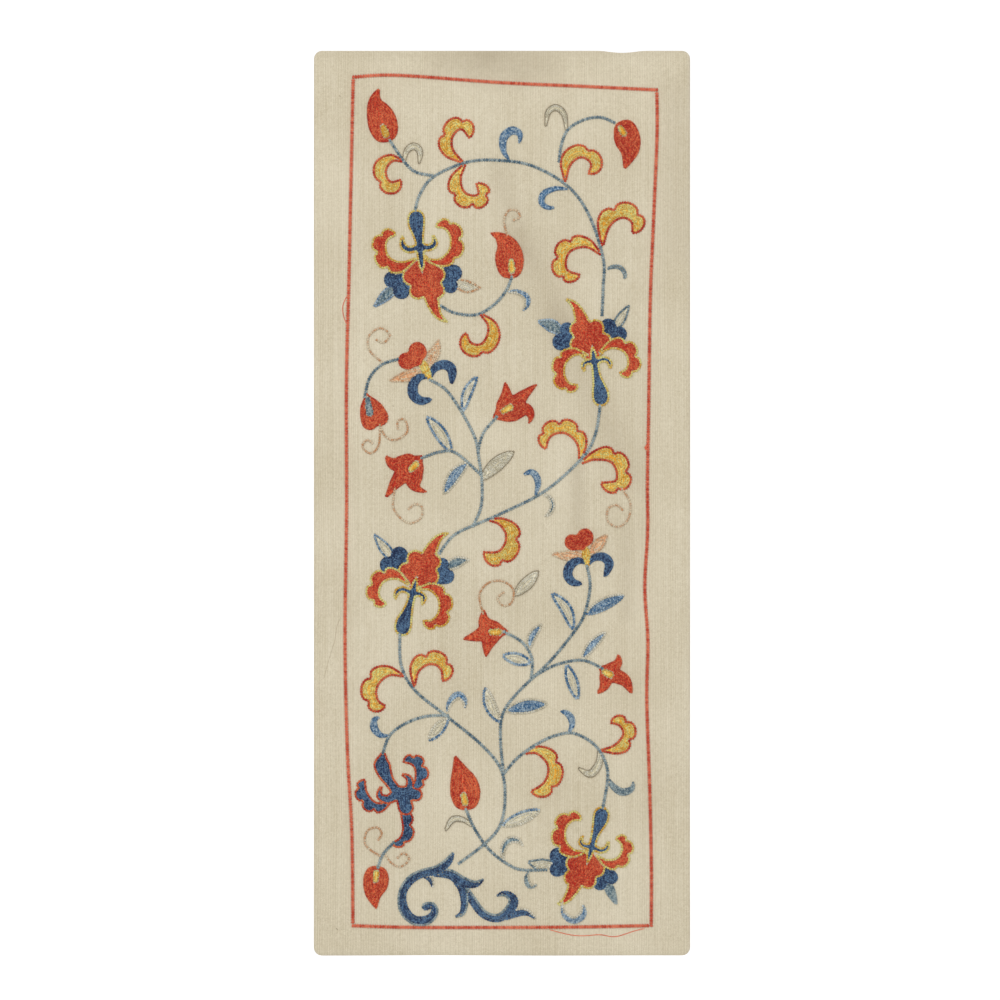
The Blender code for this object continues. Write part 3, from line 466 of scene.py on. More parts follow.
def runs(line, wanted):
    """The stretches of a line whose points are wanted."""
    found, stretch = [], []
    for place, keep in zip(line, wanted):
        if keep:
            stretch.append(place)
        elif stretch:
            found.append(stretch)
            stretch = []
    if stretch:
        found.append(stretch)
    return [np.array(stretch) for stretch in found if len(stretch) > 2]


# %% Rows, laid threads, and the spots that are already stitched
ROW_WIDTH = 1.15
EDGE_WIDTH = 1.6
LEAF_EDGE = 1.35
FINE_EDGE = 0.32
LEAF_EDGES = {"umber": FINE_EDGE, "blue": 1.8}
LAID_PITCH = 0.5
LAID_WIDTH = 0.62
UNDER = 0.25
# A row lies a little nearer the edge than its own half width. A gap narrower than this share of a
# row is left open. Laid threads start below the edge row at this share of its width, or else at
# this depth in the fill.
SNUG = 0.1
SPARE_ROW = 0.35
LAID_FROM = {"edge": 0.75, "fill": 0.5}
PANEL_CORNER = np.array([-WIDTH / 2, -HEIGHT])

rows = {}
laid = {}
stitched = np.zeros((int(WIDTH / FINE) + 1, int(HEIGHT / FINE) + 1), bool)


def is_stitched(line):
    spots = np.round((np.asarray(line) - PANEL_CORNER) / FINE).astype(int)
    return stitched[spots[:, 0], spots[:, 1]]


def add_row(silk, line, width):
    """One row of stitches, less what lies under the silk that is already there."""
    for stretch in runs(line, ~is_stitched(line)):
        rows.setdefault(silk, []).append((stretch, width))


def side_of(line, spine):
    """For each point of a line, whether it lies left of the spine."""
    spine = np.array([place[:2] for place in spine])
    nearest = np.argmin(((line[:, None] - spine[None]) ** 2).sum(axis=2), axis=1)
    ahead = np.minimum(nearest + 1, len(spine) - 1)
    behind = np.maximum(nearest - 1, 0)
    way, off = spine[ahead] - spine[behind], line - spine[nearest]
    return way[:, 0] * off[:, 1] - way[:, 1] * off[:, 0] > 0


def fill_shape(cells, fill, edge=None, edge_width=EDGE_WIDTH, edge_side=0, spine=None):
    """Rows round and round inside a shape. An edge row may be of another silk, on one side or both."""
    mask, corner = shape_mask(cells)
    depth = depth_inside(mask)
    deepest = depth.max()
    first_width = min(edge_width if edge else ROW_WIDTH, 2 * deepest)
    for line in depth_lines(depth, corner, first_width / 2 - SNUG):
        if edge is None or edge_side == 0:
            add_row(edge or fill, line, first_width)
        else:
            left = side_of(line, spine)
            for silk, wanted in ((edge, left == (edge_side > 0)), (fill, left != (edge_side > 0))):
                for stretch in runs(line, wanted):
                    add_row(silk, stretch, first_width)
    inner = deepest - first_width
    count = math.ceil(inner / ROW_WIDTH - SPARE_ROW)
    for k in range(count):
        pitch = min(inner / count, ROW_WIDTH)
        for line in depth_lines(depth, corner, first_width + (k + 0.5) * pitch - SNUG):
            add_row(fill, line, ROW_WIDTH)
    level = LAID_FROM["edge"] * first_width if edge else LAID_FROM["fill"]
    lay_threads(depth, corner, level, fill)


def lay_threads(depth, corner, level, silk):
    """Straight upright threads under the rows, wherever the shape is deeper than the level."""
    for i in range(0, depth.shape[0], round(LAID_PITCH / FINE)):
        up = corner[1] + FINE * np.arange(depth.shape[1])
        line = np.column_stack([np.full(len(up), corner[0] + FINE * i), up])
        for stretch in runs(line, (depth[i] > level) & ~is_stitched(line)):
            laid.setdefault(silk, []).append((stretch[[0, len(stretch) // 2, -1]], LAID_WIDTH))


def finish_motif(cells):
    """Marks a motif as stitched, so that what comes later passes under it."""
    mark_cells(stitched, PANEL_CORNER, cells)


print("Grid of", stitched.shape, "spots,", FINE, "mm apart")

# %% [markdown]
# ## The vine: stems, curled leaves and tendrils
# A stem is one broad row of stitches, so only its middle line is given. Curled leaves and the
# leaves like a lens are small fills. Many have an edge row of a second silk, on one side or on both,
# which is how the real ones turn from blue to ivory. Tendrils are one fine row of peach silk.
# The motifs that lie on top come first, because what comes later passes under them.

# %% The red line
LINE_ROW = 2.15
BORDER = [
    (-74.3, -13.3), (-52, -12.4), (-1, -16), (38, -17.8), (77.3, -19.7),
    (77.4, -43), (75.4, -90), (74, -125), (73.2, -180), (72.6, -215), (72.7, -240), (71.3, -268),
    (72.8, -295), (72.3, -325), (73.8, -370), (74.6, -410), (74.5, -437),
    (36, -437.6), (-37, -438), (-74.4, -437),
    (-75, -390), (-77.2, -350), (-78.4, -295), (-77.6, -230), (-77.6, -165), (-76.3, -110), (-75, -45),
]
BORDER_CORNERS = (0, 4, 16, 19)


def lay_line(silk, spine, width, step=1.0):
    """One row along the smooth line through the spine's places."""
    line = np.array([point.xy for point in curve_through(spine, step)])
    add_row(silk, line, width)


for first, last in zip(BORDER_CORNERS, (*BORDER_CORNERS[1:], len(BORDER))):
    side = [*BORDER[first:last], BORDER[last % len(BORDER)]]
    lay_line("line", [(*place, 0.0) for place in side], LINE_ROW)
    finish_motif(stroke([(*place, LINE_ROW / 2) for place in side]))
print("The red line has", len(rows["line"]), "sides")

# %% Stems
STEM_ROW = 1.9
STEMS = [
    {"name": "upper vine", "spine": [
        (-43.3, -79.6), (-41, -72), (-34, -63), (-17, -55.7), (0, -55), (16, -58), (33, -68),
        (43.5, -82.5), (50.5, -104), (50.5, -118), (49.9, -132.2)]},
    {"name": "middle vine", "spine": [
        (49, -177.6), (46.5, -192), (40, -203.5), (21.5, -220), (-1, -231.5), (-21.5, -240.5),
        (-28, -246.5), (-31, -251)]},
    {"name": "lower vine", "spine": [
        (-51, -291.6), (-50.3, -307), (-43.5, -319.5), (-27.5, -332.5), (-10.5, -346.5), (-0.5, -359),
        (1.5, -374), (-1, -387), (-8.5, -396), (-21.5, -406)]},
    {"name": "first bud", "spine": [(-56, -45), (-48.5, -56), (-43, -60.8), (-35, -62.5)]},
    {"name": "second bud", "spine": [
        (28.5, -55.5), (29.7, -47), (33, -39.5), (40.5, -34.8), (49, -33.4), (56, -36)]},
    {"name": "third bud", "spine": [
        (-30.5, -127.5), (-24, -131), (-13, -132), (-4, -127), (2, -120), (5, -113)]},
    {"name": "first blossom", "spine": [
        (-36, -164.5), (-28, -169.5), (-20.5, -180), (-13.5, -193.5), (-11.5, -204), (-10, -216),
        (-10.5, -228), (-14.5, -237.5)]},
    {"name": "heart bud", "spine": [(-52, -154.3), (-60, -157), (-66, -163.5), (-68.5, -173)]},
    {"name": "first tulip", "spine": [(-12, -200), (-9.3, -191), (-2.5, -183)]},
    {"name": "second tulip", "spine": [(-40, -203.5), (-31, -200.5), (-23, -201), (-11, -211.5)]},
    {"name": "second blossom", "spine": [
        (42.5, -257.5), (44, -268), (41, -282), (35.5, -291), (24, -305), (8, -320.5), (0.5, -331),
        (-0.8, -343), (0.5, -359)]},
    {"name": "third tulip", "spine": [(1, -290.3), (9.5, -295), (14, -301), (15.2, -306), (14.5, -314)]},
    {"name": "fourth tulip", "spine": [(16, -312.5), (27, -306.8), (40, -304.5), (50, -308.5)]},
    {"name": "blue palmette", "spine": [
        (-27, -332), (-38, -332.5), (-48, -336), (-56, -342), (-59.5, -351)]},
    {"name": "last palmette", "spine": [
        (1, -361), (8, -353), (18, -346), (27, -342), (36, -341), (46, -346.5), (51.5, -355),
        (52.7, -364), (50.3, -378.2)]},
    {"name": "fourth bud", "spine": [
        (-18, -379), (-13.5, -389), (-6, -399.5), (4, -407), (11, -409.2), (22, -409)]},
    {"name": "fifth bud", "spine": [(-54, -395.5), (-59.5, -401.5), (-62, -408)]},
]

stem_cells = []
for stem in STEMS:
    lay_line("stem", [(*place, 0.0) for place in stem["spine"]], STEM_ROW)
    stem_cells += stroke([(*place, STEM_ROW / 2) for place in stem["spine"]])
finish_motif(stem_cells)
print(len(STEMS), "stems")

# %% Curled leaves and leaves like a lens
CURLS = [
    {"half": 2.6, "fill": "blue",
     "spine": [(3.5, -54.5), (0.7, -50), (0.8, -43.5), (5, -40), (9, -42), (8.2, -48.3)]},
    {"half": 2.0, "fill": "blue",
     "spine": [(34, -69.5), (27, -69), (21, -71.5), (19.8, -76), (23.5, -78.7), (29, -77.5)]},
    {"half": 2.0, "fill": "blue", "edge": "ivory", "edge_side": -1,
     "spine": [(1.5, -121), (7, -120.5), (12, -123), (12.5, -127), (9, -131.5)]},
    {"half": 1.5, "fill": "ivory", "edge": "stem",
     "spine": [(50.5, -112), (54, -108.5), (59, -108.5), (61.5, -112.5), (60, -117.5)]},
    {"half": 2.1, "fill": "blue",
     "spine": [(16.5, -222.5), (18, -217), (17, -212.5), (14, -210.5), (9.3, -213)]},
    {"half": 1.7, "fill": "stem", "edge": "ivory",
     "spine": [(18, -221.5), (23.5, -223), (25.3, -227.5), (23, -231.8), (18.5, -233.7)]},
    {"half": 2.3, "fill": "blue",
     "spine": [(-56.5, -342), (-60.5, -342), (-63.8, -338.5), (-63.5, -334), (-60, -332.8)]},
    {"half": 2.3, "fill": "blue", "edge": "ivory", "edge_side": -1,
     "spine": [(-27.5, -331), (-26, -325.5), (-21.8, -321.8), (-18.6, -325), (-18.8, -330)]},
    {"half": 2.1, "fill": "blue",
     "spine": [(33, -341), (35, -337), (34.3, -333), (31.5, -330.5), (27.8, -330)]},
    {"half": 2.3, "fill": "stem",
     "spine": [(52, -362), (55, -367), (60, -370.3), (65, -368.5), (65.3, -363.5)]},
    {"half": 2.3, "fill": "stem", "edge": "ivory",
     "spine": [(0.8, -405), (0.5, -399), (3.5, -394.5), (8, -394.5), (11.4, -398.7)]},
    {"half": 1.9, "fill": "stem", "edge": "ivory", "edge_side": 1,
     "spine": [(13.8, -409), (12.3, -413.5), (14.3, -417.3), (18.8, -415.8)]},
    {"half": 1.9, "fill": "ivory", "edge": "umber",
     "spine": [(-49, -55.5), (-47.5, -50), (-44, -47.8), (-41, -50.5), (-41.5, -57)]},
    {"half": 1.7, "fill": "ivory", "edge": "umber",
     "spine": [(32.3, -40.5), (31, -32), (27, -28.5), (23, -31), (21.7, -38.5)]},
    {"half": 2.2, "fill": "ivory", "edge": "umber",
     "spine": [(48.5, -349), (48.3, -356), (44, -361.2), (37.8, -358)]},
    {"half": 1.7, "fill": "ivory", "edge": "umber",
     "spine": [(-15.5, -387), (-19, -384.3), (-24.5, -384), (-28.5, -390)]},
]
LENSES = [
    {"half": 2.9, "fill": "ivory", "edge": "blue",
     "spine": [(-19.5, -181), (-17.3, -171), (-12, -162)]},
    {"half": 3.6, "fill": "ivory", "edge": "blue",
     "spine": [(-25, -201), (-31, -191), (-38, -182.3)]},
    {"half": 3.3, "fill": "blue", "edge": "ivory",
     "spine": [(-16.5, -205.5), (-23.5, -212), (-29.3, -222)]},
    {"half": 3.4, "fill": "ivory", "edge": "umber",
     "spine": [(-10.5, -214.5), (-2.5, -206.5), (5.7, -200.5)]},
    {"half": 3.3, "fill": "ivory", "edge": "blue",
     "spine": [(35.7, -290), (32, -279), (24.3, -270.5)]},
    {"half": 3.3, "fill": "blue", "edge": "ivory", "edge_side": 1,
     "spine": [(41.5, -281.8), (51, -276.5), (61.3, -271.8)]},
    {"half": 3.5, "fill": "ivory", "edge": "blue",
     "spine": [(15, -306), (8, -304), (-0.3, -302)]},
    {"half": 2.6, "fill": "blue", "edge": "ivory",
     "spine": [(39.5, -304.5), (45, -297), (52.3, -290)]},
    {"half": 3.3, "fill": "ivory", "edge": "blue",
     "spine": [(32, -306), (35, -315), (38, -324.7)]},
    {"half": 3.8, "fill": "blue", "edge": "ivory",
     "spine": [(1.5, -330), (12, -327.5), (23, -326.3)]},
    {"half": 3.4, "fill": "ivory", "edge": "blue", "edge_side": 1,
     "spine": [(-0.7, -336), (-5.5, -328), (-8.5, -317.5)]},
    {"half": 3.3, "fill": "ivory", "edge": "blue", "edge_side": 1,
     "spine": [(-26.5, -333), (-31.5, -338.5), (-36.8, -345)]},
    {"half": 3.5, "fill": "ivory", "edge": "blue", "edge_side": 1,
     "spine": [(-0.5, -387.5), (9, -383.5), (19.5, -379)]},
    {"half": 2.4, "fill": "blue", "edge": "ivory",
     "spine": [(13.5, -300), (14.8, -293), (20, -286)]},
]


def stitch_leaf(leaf, profile):
    spine = widened(leaf["spine"], profile, leaf["half"])
    edge_width = LEAF_EDGES.get(leaf.get("edge"), LEAF_EDGE)
    fill_shape(stroke(spine), leaf["fill"], leaf.get("edge"), edge_width, leaf.get("edge_side", 0), spine)
    finish_motif(stroke(spine, UNDER))


for leaf in CURLS:
    stitch_leaf(leaf, curl_profile)
for leaf in LENSES:
    stitch_leaf(leaf, lens_profile)
print(len(CURLS), "curled leaves and", len(LENSES), "leaves like a lens")

# %% Tendrils
TENDRIL_ROW = 1.35
TENDRILS = [
    [(2.5, -92), (1, -85), (3, -80.3), (7, -79.8), (9, -83), (6, -84.8)],
    [(-59, -156.5), (-66, -150), (-66.5, -143), (-61, -138.8), (-56, -142), (-59, -146), (-62.5, -144.7)],
    [(-61, -187), (-58, -193), (-53, -194.5), (-47.3, -190.5), (-48.5, -184.5), (-52, -185), (-52, -189)],
    [(-61, -187), (-61.5, -197), (-65.5, -201.3), (-69.7, -198), (-67.5, -194.5), (-64.8, -196)],
    [(-53.5, -219), (-54, -229), (-47, -236), (-40.5, -233.5), (-40, -228), (-43.5, -226.7), (-46.5, -229)],
    [(60, -219), (64, -226), (63, -234), (58, -238), (52.8, -235), (53, -229), (57, -227), (60, -229.3)],
    [(-9.5, -281), (-11.3, -272), (-7, -266), (0, -265), (5.5, -269), (5, -275.5), (0.5, -277.3),
     (-2.3, -273.5), (0.8, -270.8)],
    [(-60.5, -402.5), (-68, -397), (-67.5, -390), (-62.5, -388), (-60, -391), (-61.7, -394)],
    [(-58.5, -400.5), (-56, -405), (-51, -407.7), (-46.3, -404), (-49, -400.8), (-52, -403)],
]

for spine in TENDRILS:
    lay_line("peach", [(*place, 0.0) for place in spine], TENDRIL_ROW)
    finish_motif(stroke([(*place, TENDRIL_ROW / 2) for place in spine]))
print(len(TENDRILS), "tendrils")

# %% [markdown]
# ## The root scroll and the lone crescent
# The vine grows out of a dark blue scroll. A paler row runs along its upper edges, as if light fell
# on it, and its tips run out to ivory.

# %% The root scroll
ROOT_SCROLL = [
    [(-24, -399.5, 0.4), (-26.5, -404.5, 2.0), (-32, -409, 2.4), (-40, -411, 2.2), (-46, -414.5, 2.3),
     (-49.8, -421, 2.2), (-49, -429, 2.6), (-44, -434.3, 2.5), (-37.5, -434.4, 2.5), (-33.6, -430.5, 2.0),
     (-34.5, -427, 1.8), (-38, -427.5, 2.2)],
    [(-40, -411.5, 1.2), (-35.5, -414, 1.6), (-34.4, -419.5, 0.4)],
    [(-34, -410.5, 2.2), (-26, -411.3, 2.6), (-20, -415, 2.8), (-13, -416.3, 1.8), (-8.3, -412.7, 0.4)],
    [(-24.5, -412.5, 2.2), (-20, -418, 2.4), (-18.7, -425, 2.0), (-20, -431, 1.5), (-25, -433, 0.4)],
    [(-20, -417, 2.2), (-15, -424, 2.2), (-9.5, -431, 2.2), (-2.5, -433.3, 2.2), (3, -430, 2.6),
     (5.8, -425, 2.6), (3.5, -421.7, 2.0), (0, -421, 1.3), (-3.8, -423, 0.4)],
    [(0, -433, 2.0), (7, -430.6, 2.2), (12.5, -430.3, 1.7), (18.3, -434.7, 0.4)],
]
# For each stroke, the silk of its edge row and the side that it is on.
SCROLL_EDGES = [("stem", -1), ("ivory", 1), ("stem", 1), ("stem", 1), ("stem", 1), ("ivory", 1)]
CRESCENT = [(30, -425, 0.5), (31, -431.3, 1.5), (36, -434.3, 1.9), (40.6, -431, 1.9), (40, -425.5, 0.5)]

for strokes_row, (edge, edge_side) in zip(ROOT_SCROLL, SCROLL_EDGES):
    fill_shape(stroke(strokes_row), "navy", edge, LEAF_EDGE, edge_side, curve_through(strokes_row))
    finish_motif(stroke(strokes_row))
fill_shape(stroke(CRESCENT), "blue", "ivory", LEAF_EDGE, 1, curve_through(CRESCENT))
finish_motif(stroke(CRESCENT, UNDER))
print(len(ROOT_SCROLL), "strokes in the root scroll")

# %% [markdown]
# ## Flowers
# Each flower is worked in its own order, the uppermost shape first. The large palmettes hang from a
# dark blue drop with two arms, edged in gold. Red petals and a red fan lie behind it, also edged in
# gold, and blue side leaves behind those. The same design is turned and mirrored for each place.

# %% The blue palmette
BLUE_PALMETTE_STROKES = [
    [(-59.5, -352.5, 2.2), (-60, -356, 4.4), (-58.5, -361, 3.9), (-55.5, -366, 2.8), (-51, -372, 3.4)],
    [(-52, -371, 3), (-57, -374, 2.6), (-61.3, -372, 1.9), (-60.3, -367.5, 0.9)],
    [(-51, -370, 3), (-46.5, -368.8, 2.4), (-46.3, -363.5, 1.9), (-50, -361.5, 0.9)],
    [(-50, -371, 3.6), (-48, -378, 4.2)],
    [(-47, -369.5, 2.5), (-43, -371.6, 3.6)],
]
BLUE_PALMETTE_PETALS = [
    {"lobes": 4, "width": 7.2, "side": -1,
     "spine": [(-54, -373), (-62, -375.3), (-67, -370), (-67.8, -363.2)]},
    {"lobes": 4, "width": 7.4, "side": 1,
     "spine": [(-50, -369), (-45.5, -367.3), (-43.6, -362), (-45, -357.3), (-50.3, -355.8)]},
    {"lobes": 3, "width": 6.8, "side": -1,
     "spine": [(-51.5, -372), (-51, -381), (-50, -388.5), (-51.8, -393.3), (-56.3, -395)]},
]

blue_cells = [cell for row in BLUE_PALMETTE_STROKES for cell in stroke(row)]
fill_shape(blue_cells, "navy", "red", LEAF_EDGE)
finish_motif(blue_cells)
for petal in BLUE_PALMETTE_PETALS:
    fill_shape(lobed(petal, 0.0, -petal["side"]), "navy", "red", LEAF_EDGE)
    finish_motif(lobed(petal, UNDER, -petal["side"]))
print("The blue palmette has", len(BLUE_PALMETTE_PETALS), "petals")

# %% The four palmettes
DROP = [
    (-0.8, -4.9, 4.6), (-0.7, -8, 4.5), (0.1, -12.5, 3.3), (0.8, -17, 2.4), (1.3, -22, 2.2), (1.9, -28, 1.8),
    (2.2, -32.5, 0.4),
]
ARMS = [
    [(0.5, -19.3, 2.0), (-4.5, -20.6, 2.0), (-7.6, -18.2, 1.9), (-7.6, -13.9, 0.9)],
    [(1.5, -18.8, 2.0), (5.5, -19.6, 2.0), (8.5, -17.6, 1.9), (7.6, -13.4, 0.9)],
]
PETALS = [
    {"lobes": 4, "width": 8.0, "side": -1,
     "spine": [(-0.5, -23.8), (-8, -26.3), (-13.8, -24), (-15.6, -19), (-14, -15.3), (-10, -13.6)]},
    {"lobes": 4, "width": 7.8, "side": 1,
     "spine": [(2.5, -24), (9.5, -25), (14.8, -21), (15.8, -15), (13.2, -10.6), (8.2, -9.8)]},
]
FAN = [
    [(2, -25, 2.2), (-3.3, -34, 4.8)],
    [(2, -26, 2.2), (0, -41, 4.7)],
    [(3, -27, 2.6), (6, -42, 4.0), (10, -53, 2.2), (16, -57.3, 0.4)],
    [(3, -25, 2.2), (9, -33, 5.0)],
    [(3, -27, 2.2), (9.5, -41, 4.3)],
]
SIDE_LEAVES = [
    {"root": (-4, -34), "strokes": [
        [(-6, -32, 2.5), (-12.8, -35.5, 4.3)],
        [(-6, -37, 2.5), (-8.2, -41, 4.4)],
        [(-10, -38, 2.0), (-16, -43.5, 3.0), (-22.8, -50, 0.4)]]},
    {"root": (9, -33), "strokes": [
        [(11, -31, 2.5), (17.8, -32.2, 4.4)],
        [(11, -36, 2.5), (16.3, -38.6, 3.8)],
        [(18, -36.5, 2.0), (24.5, -39, 3.4), (32, -39.5, 0.4)]]},
]
PALMETTES = [
    {"place": {"at": (-42, -79), "turn": 0.0, "mirror": 1, "size": 1.0},
     "arms_down": 0.0, "arms_size": 1.0,
     "petals": ({"move": (0.0, 0.0), "size": 1.0}, {"move": (0.0, 0.0), "size": 1.0}),
     "leaves": ({"turn": 0.0, "size": 1.0, "fill": "stem", "edge": "blue"},
                {"turn": 0.0, "size": 1.0, "fill": "ivory", "edge": "peach"})},
    {"place": {"at": (48.8, -178.3), "turn": 183.0, "mirror": 1, "size": 0.97},
     "arms_down": 4.4, "arms_size": 0.85,
     "petals": ({"move": (-0.6, -3.4), "size": 0.94}, {"move": (1.7, -2.2), "size": 0.94}),
     "leaves": ({"turn": 12.0, "size": 0.96, "fill": "ivory", "edge": "stem"},
                {"turn": -16.0, "size": 1.05, "fill": "stem", "edge": "blue"})},
    {"place": {"at": (-49.5, -293), "turn": 171.0, "mirror": -1, "size": 0.97},
     "arms_down": 4.0, "arms_size": 0.9,
     "petals": ({"move": (-0.3, -2.4), "size": 0.96}, {"move": (0.0, -0.7), "size": 0.98}),
     "leaves": ({"turn": 0.0, "size": 1.05, "fill": "ivory", "edge": "blue"},
                {"turn": -16.0, "size": 0.95, "fill": "stem", "edge": "ivory"})},
    {"place": {"at": (49.7, -377), "turn": -10.0, "mirror": -1, "size": 0.93},
     "arms_down": 3.5, "arms_size": 0.9,
     "petals": ({"move": (-0.8, -1.8), "size": 0.86}, {"move": (0.3, -0.5), "size": 1.0}),
     "leaves": ({"turn": 12.0, "size": 0.92, "fill": "stem"},
                {"turn": 8.0, "size": 1.08, "fill": "ivory", "edge": "stem"})},
]
GOLD_EDGE = 1.35


def joined_strokes(strokes, grow=0.0):
    return [cell for row in strokes for cell in stroke(row, grow)]


def stitch_palmette(palmette):
    place = palmette["place"]
    size, down = palmette["arms_size"], (0, -palmette["arms_down"])
    arms = [placed(about(row, row[0], size=size), down) for row in ARMS]
    top = [placed(row, **place) for row in [DROP, *arms]]
    fill_shape(joined_strokes(top), "navy", "gold", GOLD_EDGE)
    finish_motif(joined_strokes(top))
    for petal, change in zip(PETALS, palmette["petals"]):
        spine = placed(about(petal["spine"], petal["spine"][0], size=change["size"]), change["move"])
        moved = {**petal, "width": petal["width"] * change["size"], "spine": placed(spine, **place)}
        petal_side = -petal["side"] * place["mirror"]
        fill_shape(lobed(moved, 0.0, petal_side), "red", "gold", GOLD_EDGE)
        finish_motif(lobed(moved, 0.0, petal_side))
    fan = [placed(row, **place) for row in FAN]
    fill_shape(joined_strokes(fan), "red", "gold", GOLD_EDGE)
    finish_motif(joined_strokes(fan))
    for side_leaf, look in zip(SIDE_LEAVES, palmette["leaves"]):
        turned = [
            placed(about(row, side_leaf["root"], look["turn"], look["size"]), **place)
            for row in side_leaf["strokes"]
        ]
        fill_shape(joined_strokes(turned[:2]), "navy")
        finish_motif(joined_strokes(turned[:2]))
        fill_shape(stroke(turned[2]), look["fill"], look.get("edge"), LEAF_EDGE)
        finish_motif(stroke(turned[2]))


for palmette in PALMETTES:
    stitch_palmette(palmette)
print(len(PALMETTES), "palmettes")

# %% Blossoms
BLOSSOM_CAP = [
    [(0.4, 10.5, 1.6), (-3.6, 14.7, 4.0)],
    [(0.4, 10.5, 1.6), (3.4, 15.4, 4.2)],
    [(-3.4, 13.7, 3.6), (3.4, 14.3, 3.9)],
]
BLOSSOM_WINGS = [
    [(0.7, 6.6, 1.4), (-7.5, 8.8, 2.8), (-15.8, 12, 0.4)],
    [(3.4, 6.8, 1.4), (9, 9.8, 3.0), (14.8, 13.6, 0.4)],
    [(0.2, 0.5, 0.8), (1, 5.5, 2.2), (1.6, 8.6, 2.2)],
]
BLOSSOM_CRESCENTS = [
    [(0, 2.6, 0.8), (-3.2, 4.9, 1.8), (-7.8, 3.9, 2.4), (-10.6, -0.2, 2.4), (-9.2, -4.5, 2.1),
     (-5.9, -6.3, 1.2)],
    [(1.6, 2, 0.8), (4.6, 4.0, 1.8), (9.2, 3.0, 2.3), (11.0, -0.9, 2.4), (8.4, -4.8, 1.6),
     (6.3, -7.0, 0.4)],
]
BLOSSOMS = [{"at": (-35.2, -165.3), "turn": 37.0, "size": 1.07}, {"at": (42.8, -258.5), "turn": 17.0}]


def stitch_strokes(strokes, fill, place, **look):
    cells = [cell for row in strokes for cell in stroke(placed(row, **place))]
    fill_shape(cells, fill, **look)
    finish_motif(cells)


for place in BLOSSOMS:
    stitch_strokes(BLOSSOM_CAP, "red", place)
    stitch_strokes(BLOSSOM_WINGS[2:], "gold", place)
    stitch_strokes(BLOSSOM_CRESCENTS[:1], "navy", place)
    stitch_strokes(BLOSSOM_CRESCENTS[1:], "navy", place)
    stitch_strokes(BLOSSOM_WINGS[:1], "peach", place)
    stitch_strokes(BLOSSOM_WINGS[1:2], "peach", place)
print(len(BLOSSOMS), "blossoms")

# %% Tulips, buds and the heart bud
TULIPS = [
    [[(-3, -183, 1.8), (0.5, -181, 5.2), (5, -179, 6.5)],
     [(2, -177, 5.2), (2.2, -171, 2.6), (1.5, -165, 0.4)],
     [(5, -178, 5.0), (11, -172, 2.7), (18, -166.2, 0.4)],
     [(6, -180, 4.6), (12.3, -179.5, 3.4), (14.5, -183, 1.7), (13, -187, 0.4)]],
    [[(-40.5, -203.5, 1.6), (-43.5, -206, 4.8), (-47.5, -209, 6.2)],
     [(-47, -206.5, 5.4), (-54.5, -206.3, 3.2), (-58, -202.6, 0.7)],
     [(-48, -210, 5.2), (-53.5, -216.5, 2.9), (-58.5, -224, 0.4)],
     [(-44.5, -208.5, 5.6), (-43.8, -216, 4.0), (-42, -219, 1.9), (-37, -220.5, 0.4)]],
    [[(1, -290.2, 2.0), (-2.5, -290, 5.0), (-6, -290, 5.8)],
     [(-6.5, -288.5, 5.2), (-9, -284.5, 3.0), (-9, -279.2, 0.6)],
     [(-7.5, -290.5, 5.0), (-12.5, -292.3, 3.0), (-20, -294, 0.4)],
     [(-5.5, -292, 5.0), (-7.3, -297.5, 2.8), (-8, -303, 0.5)]],
    [[(49.8, -308.5, 1.6), (52, -310.5, 4.4), (54, -311.5, 4.6)],
     [(53.5, -309.8, 3.8), (58, -305.7, 2.3), (58, -301, 0.5)],
     [(55.5, -311.7, 3.8), (61.5, -314.8, 3.1), (65, -321.5, 0.5)],
     [(52.5, -312.5, 4.0), (50.7, -318, 2.3), (47.2, -321.3, 0.5)]],
]
TULIP_EYES = [
    [(0.6, -180.2, 1.4), (4.0, -178.3, 1.8)],
    [(-43, -206.8, 1.8), (-45.6, -209.3, 1.4)],
    [(-1.8, -290.4, 1.8), (-5.4, -290.4, 1.5)],
    [(51.2, -310.3, 1.5), (54.0, -311.8, 1.8)],
]
BUDS = [
    {"half": 7.4, "eye": [(-59.3, -38.4, 1.5), (-58.0, -41.8, 2.0)],
     "spine": [(-57, -45.8), (-60, -35), (-63.3, -25), (-60.5, -17.5)]},
    {"half": 6.6, "eye": [(59.3, -38.9, 1.5), (60.9, -41.6, 1.5)],
     "spine": [(60, -34.8), (62.3, -43), (63.5, -51), (60.5, -61)]},
    {"half": 7.2, "eye": [(4.6, -105.3, 1.3), (4.9, -109.6, 1.8)],
     "spine": [(4.3, -114), (3.7, -104), (2.2, -97.3), (-1.8, -92.8), (-7.5, -90.8)]},
    {"half": 7.6, "eye": [(-19.2, -371.8, 1.4), (-18.4, -375.4, 1.8)],
     "spine": [(-18, -379.5), (-18.5, -369), (-21, -360), (-24, -350.5)]},
    {"half": 6.5, "eye": [(-62.8, -410.8, 1.7), (-63.2, -414.4, 1.3)],
     "spine": [(-62.3, -407), (-63, -415), (-64, -422), (-62.3, -430)]},
]
HEART_BUD = [
    [(-67.3, -171.5, 0.7), (-67.6, -179, 3.4), (-66, -185.5, 4.3)],
    [(-66.8, -172.5, 0.7), (-63.5, -178, 3.6), (-61, -183.3, 4.5)],
]
HEART_EYE = [(-67.1, -174, 1.2), (-66, -181, 1.9)]
PALE_LEAF = {"half": 3.0, "spine": [(6.0, -272.2), (12.5, -266), (18, -260)]}


def stitch_flower(cells, eye, eye_silk):
    """A red flower round an eye of another silk."""
    fill_shape(stroke(eye), eye_silk)
    finish_motif(stroke(eye, UNDER))
    fill_shape(cells, "red")
    finish_motif(cells)


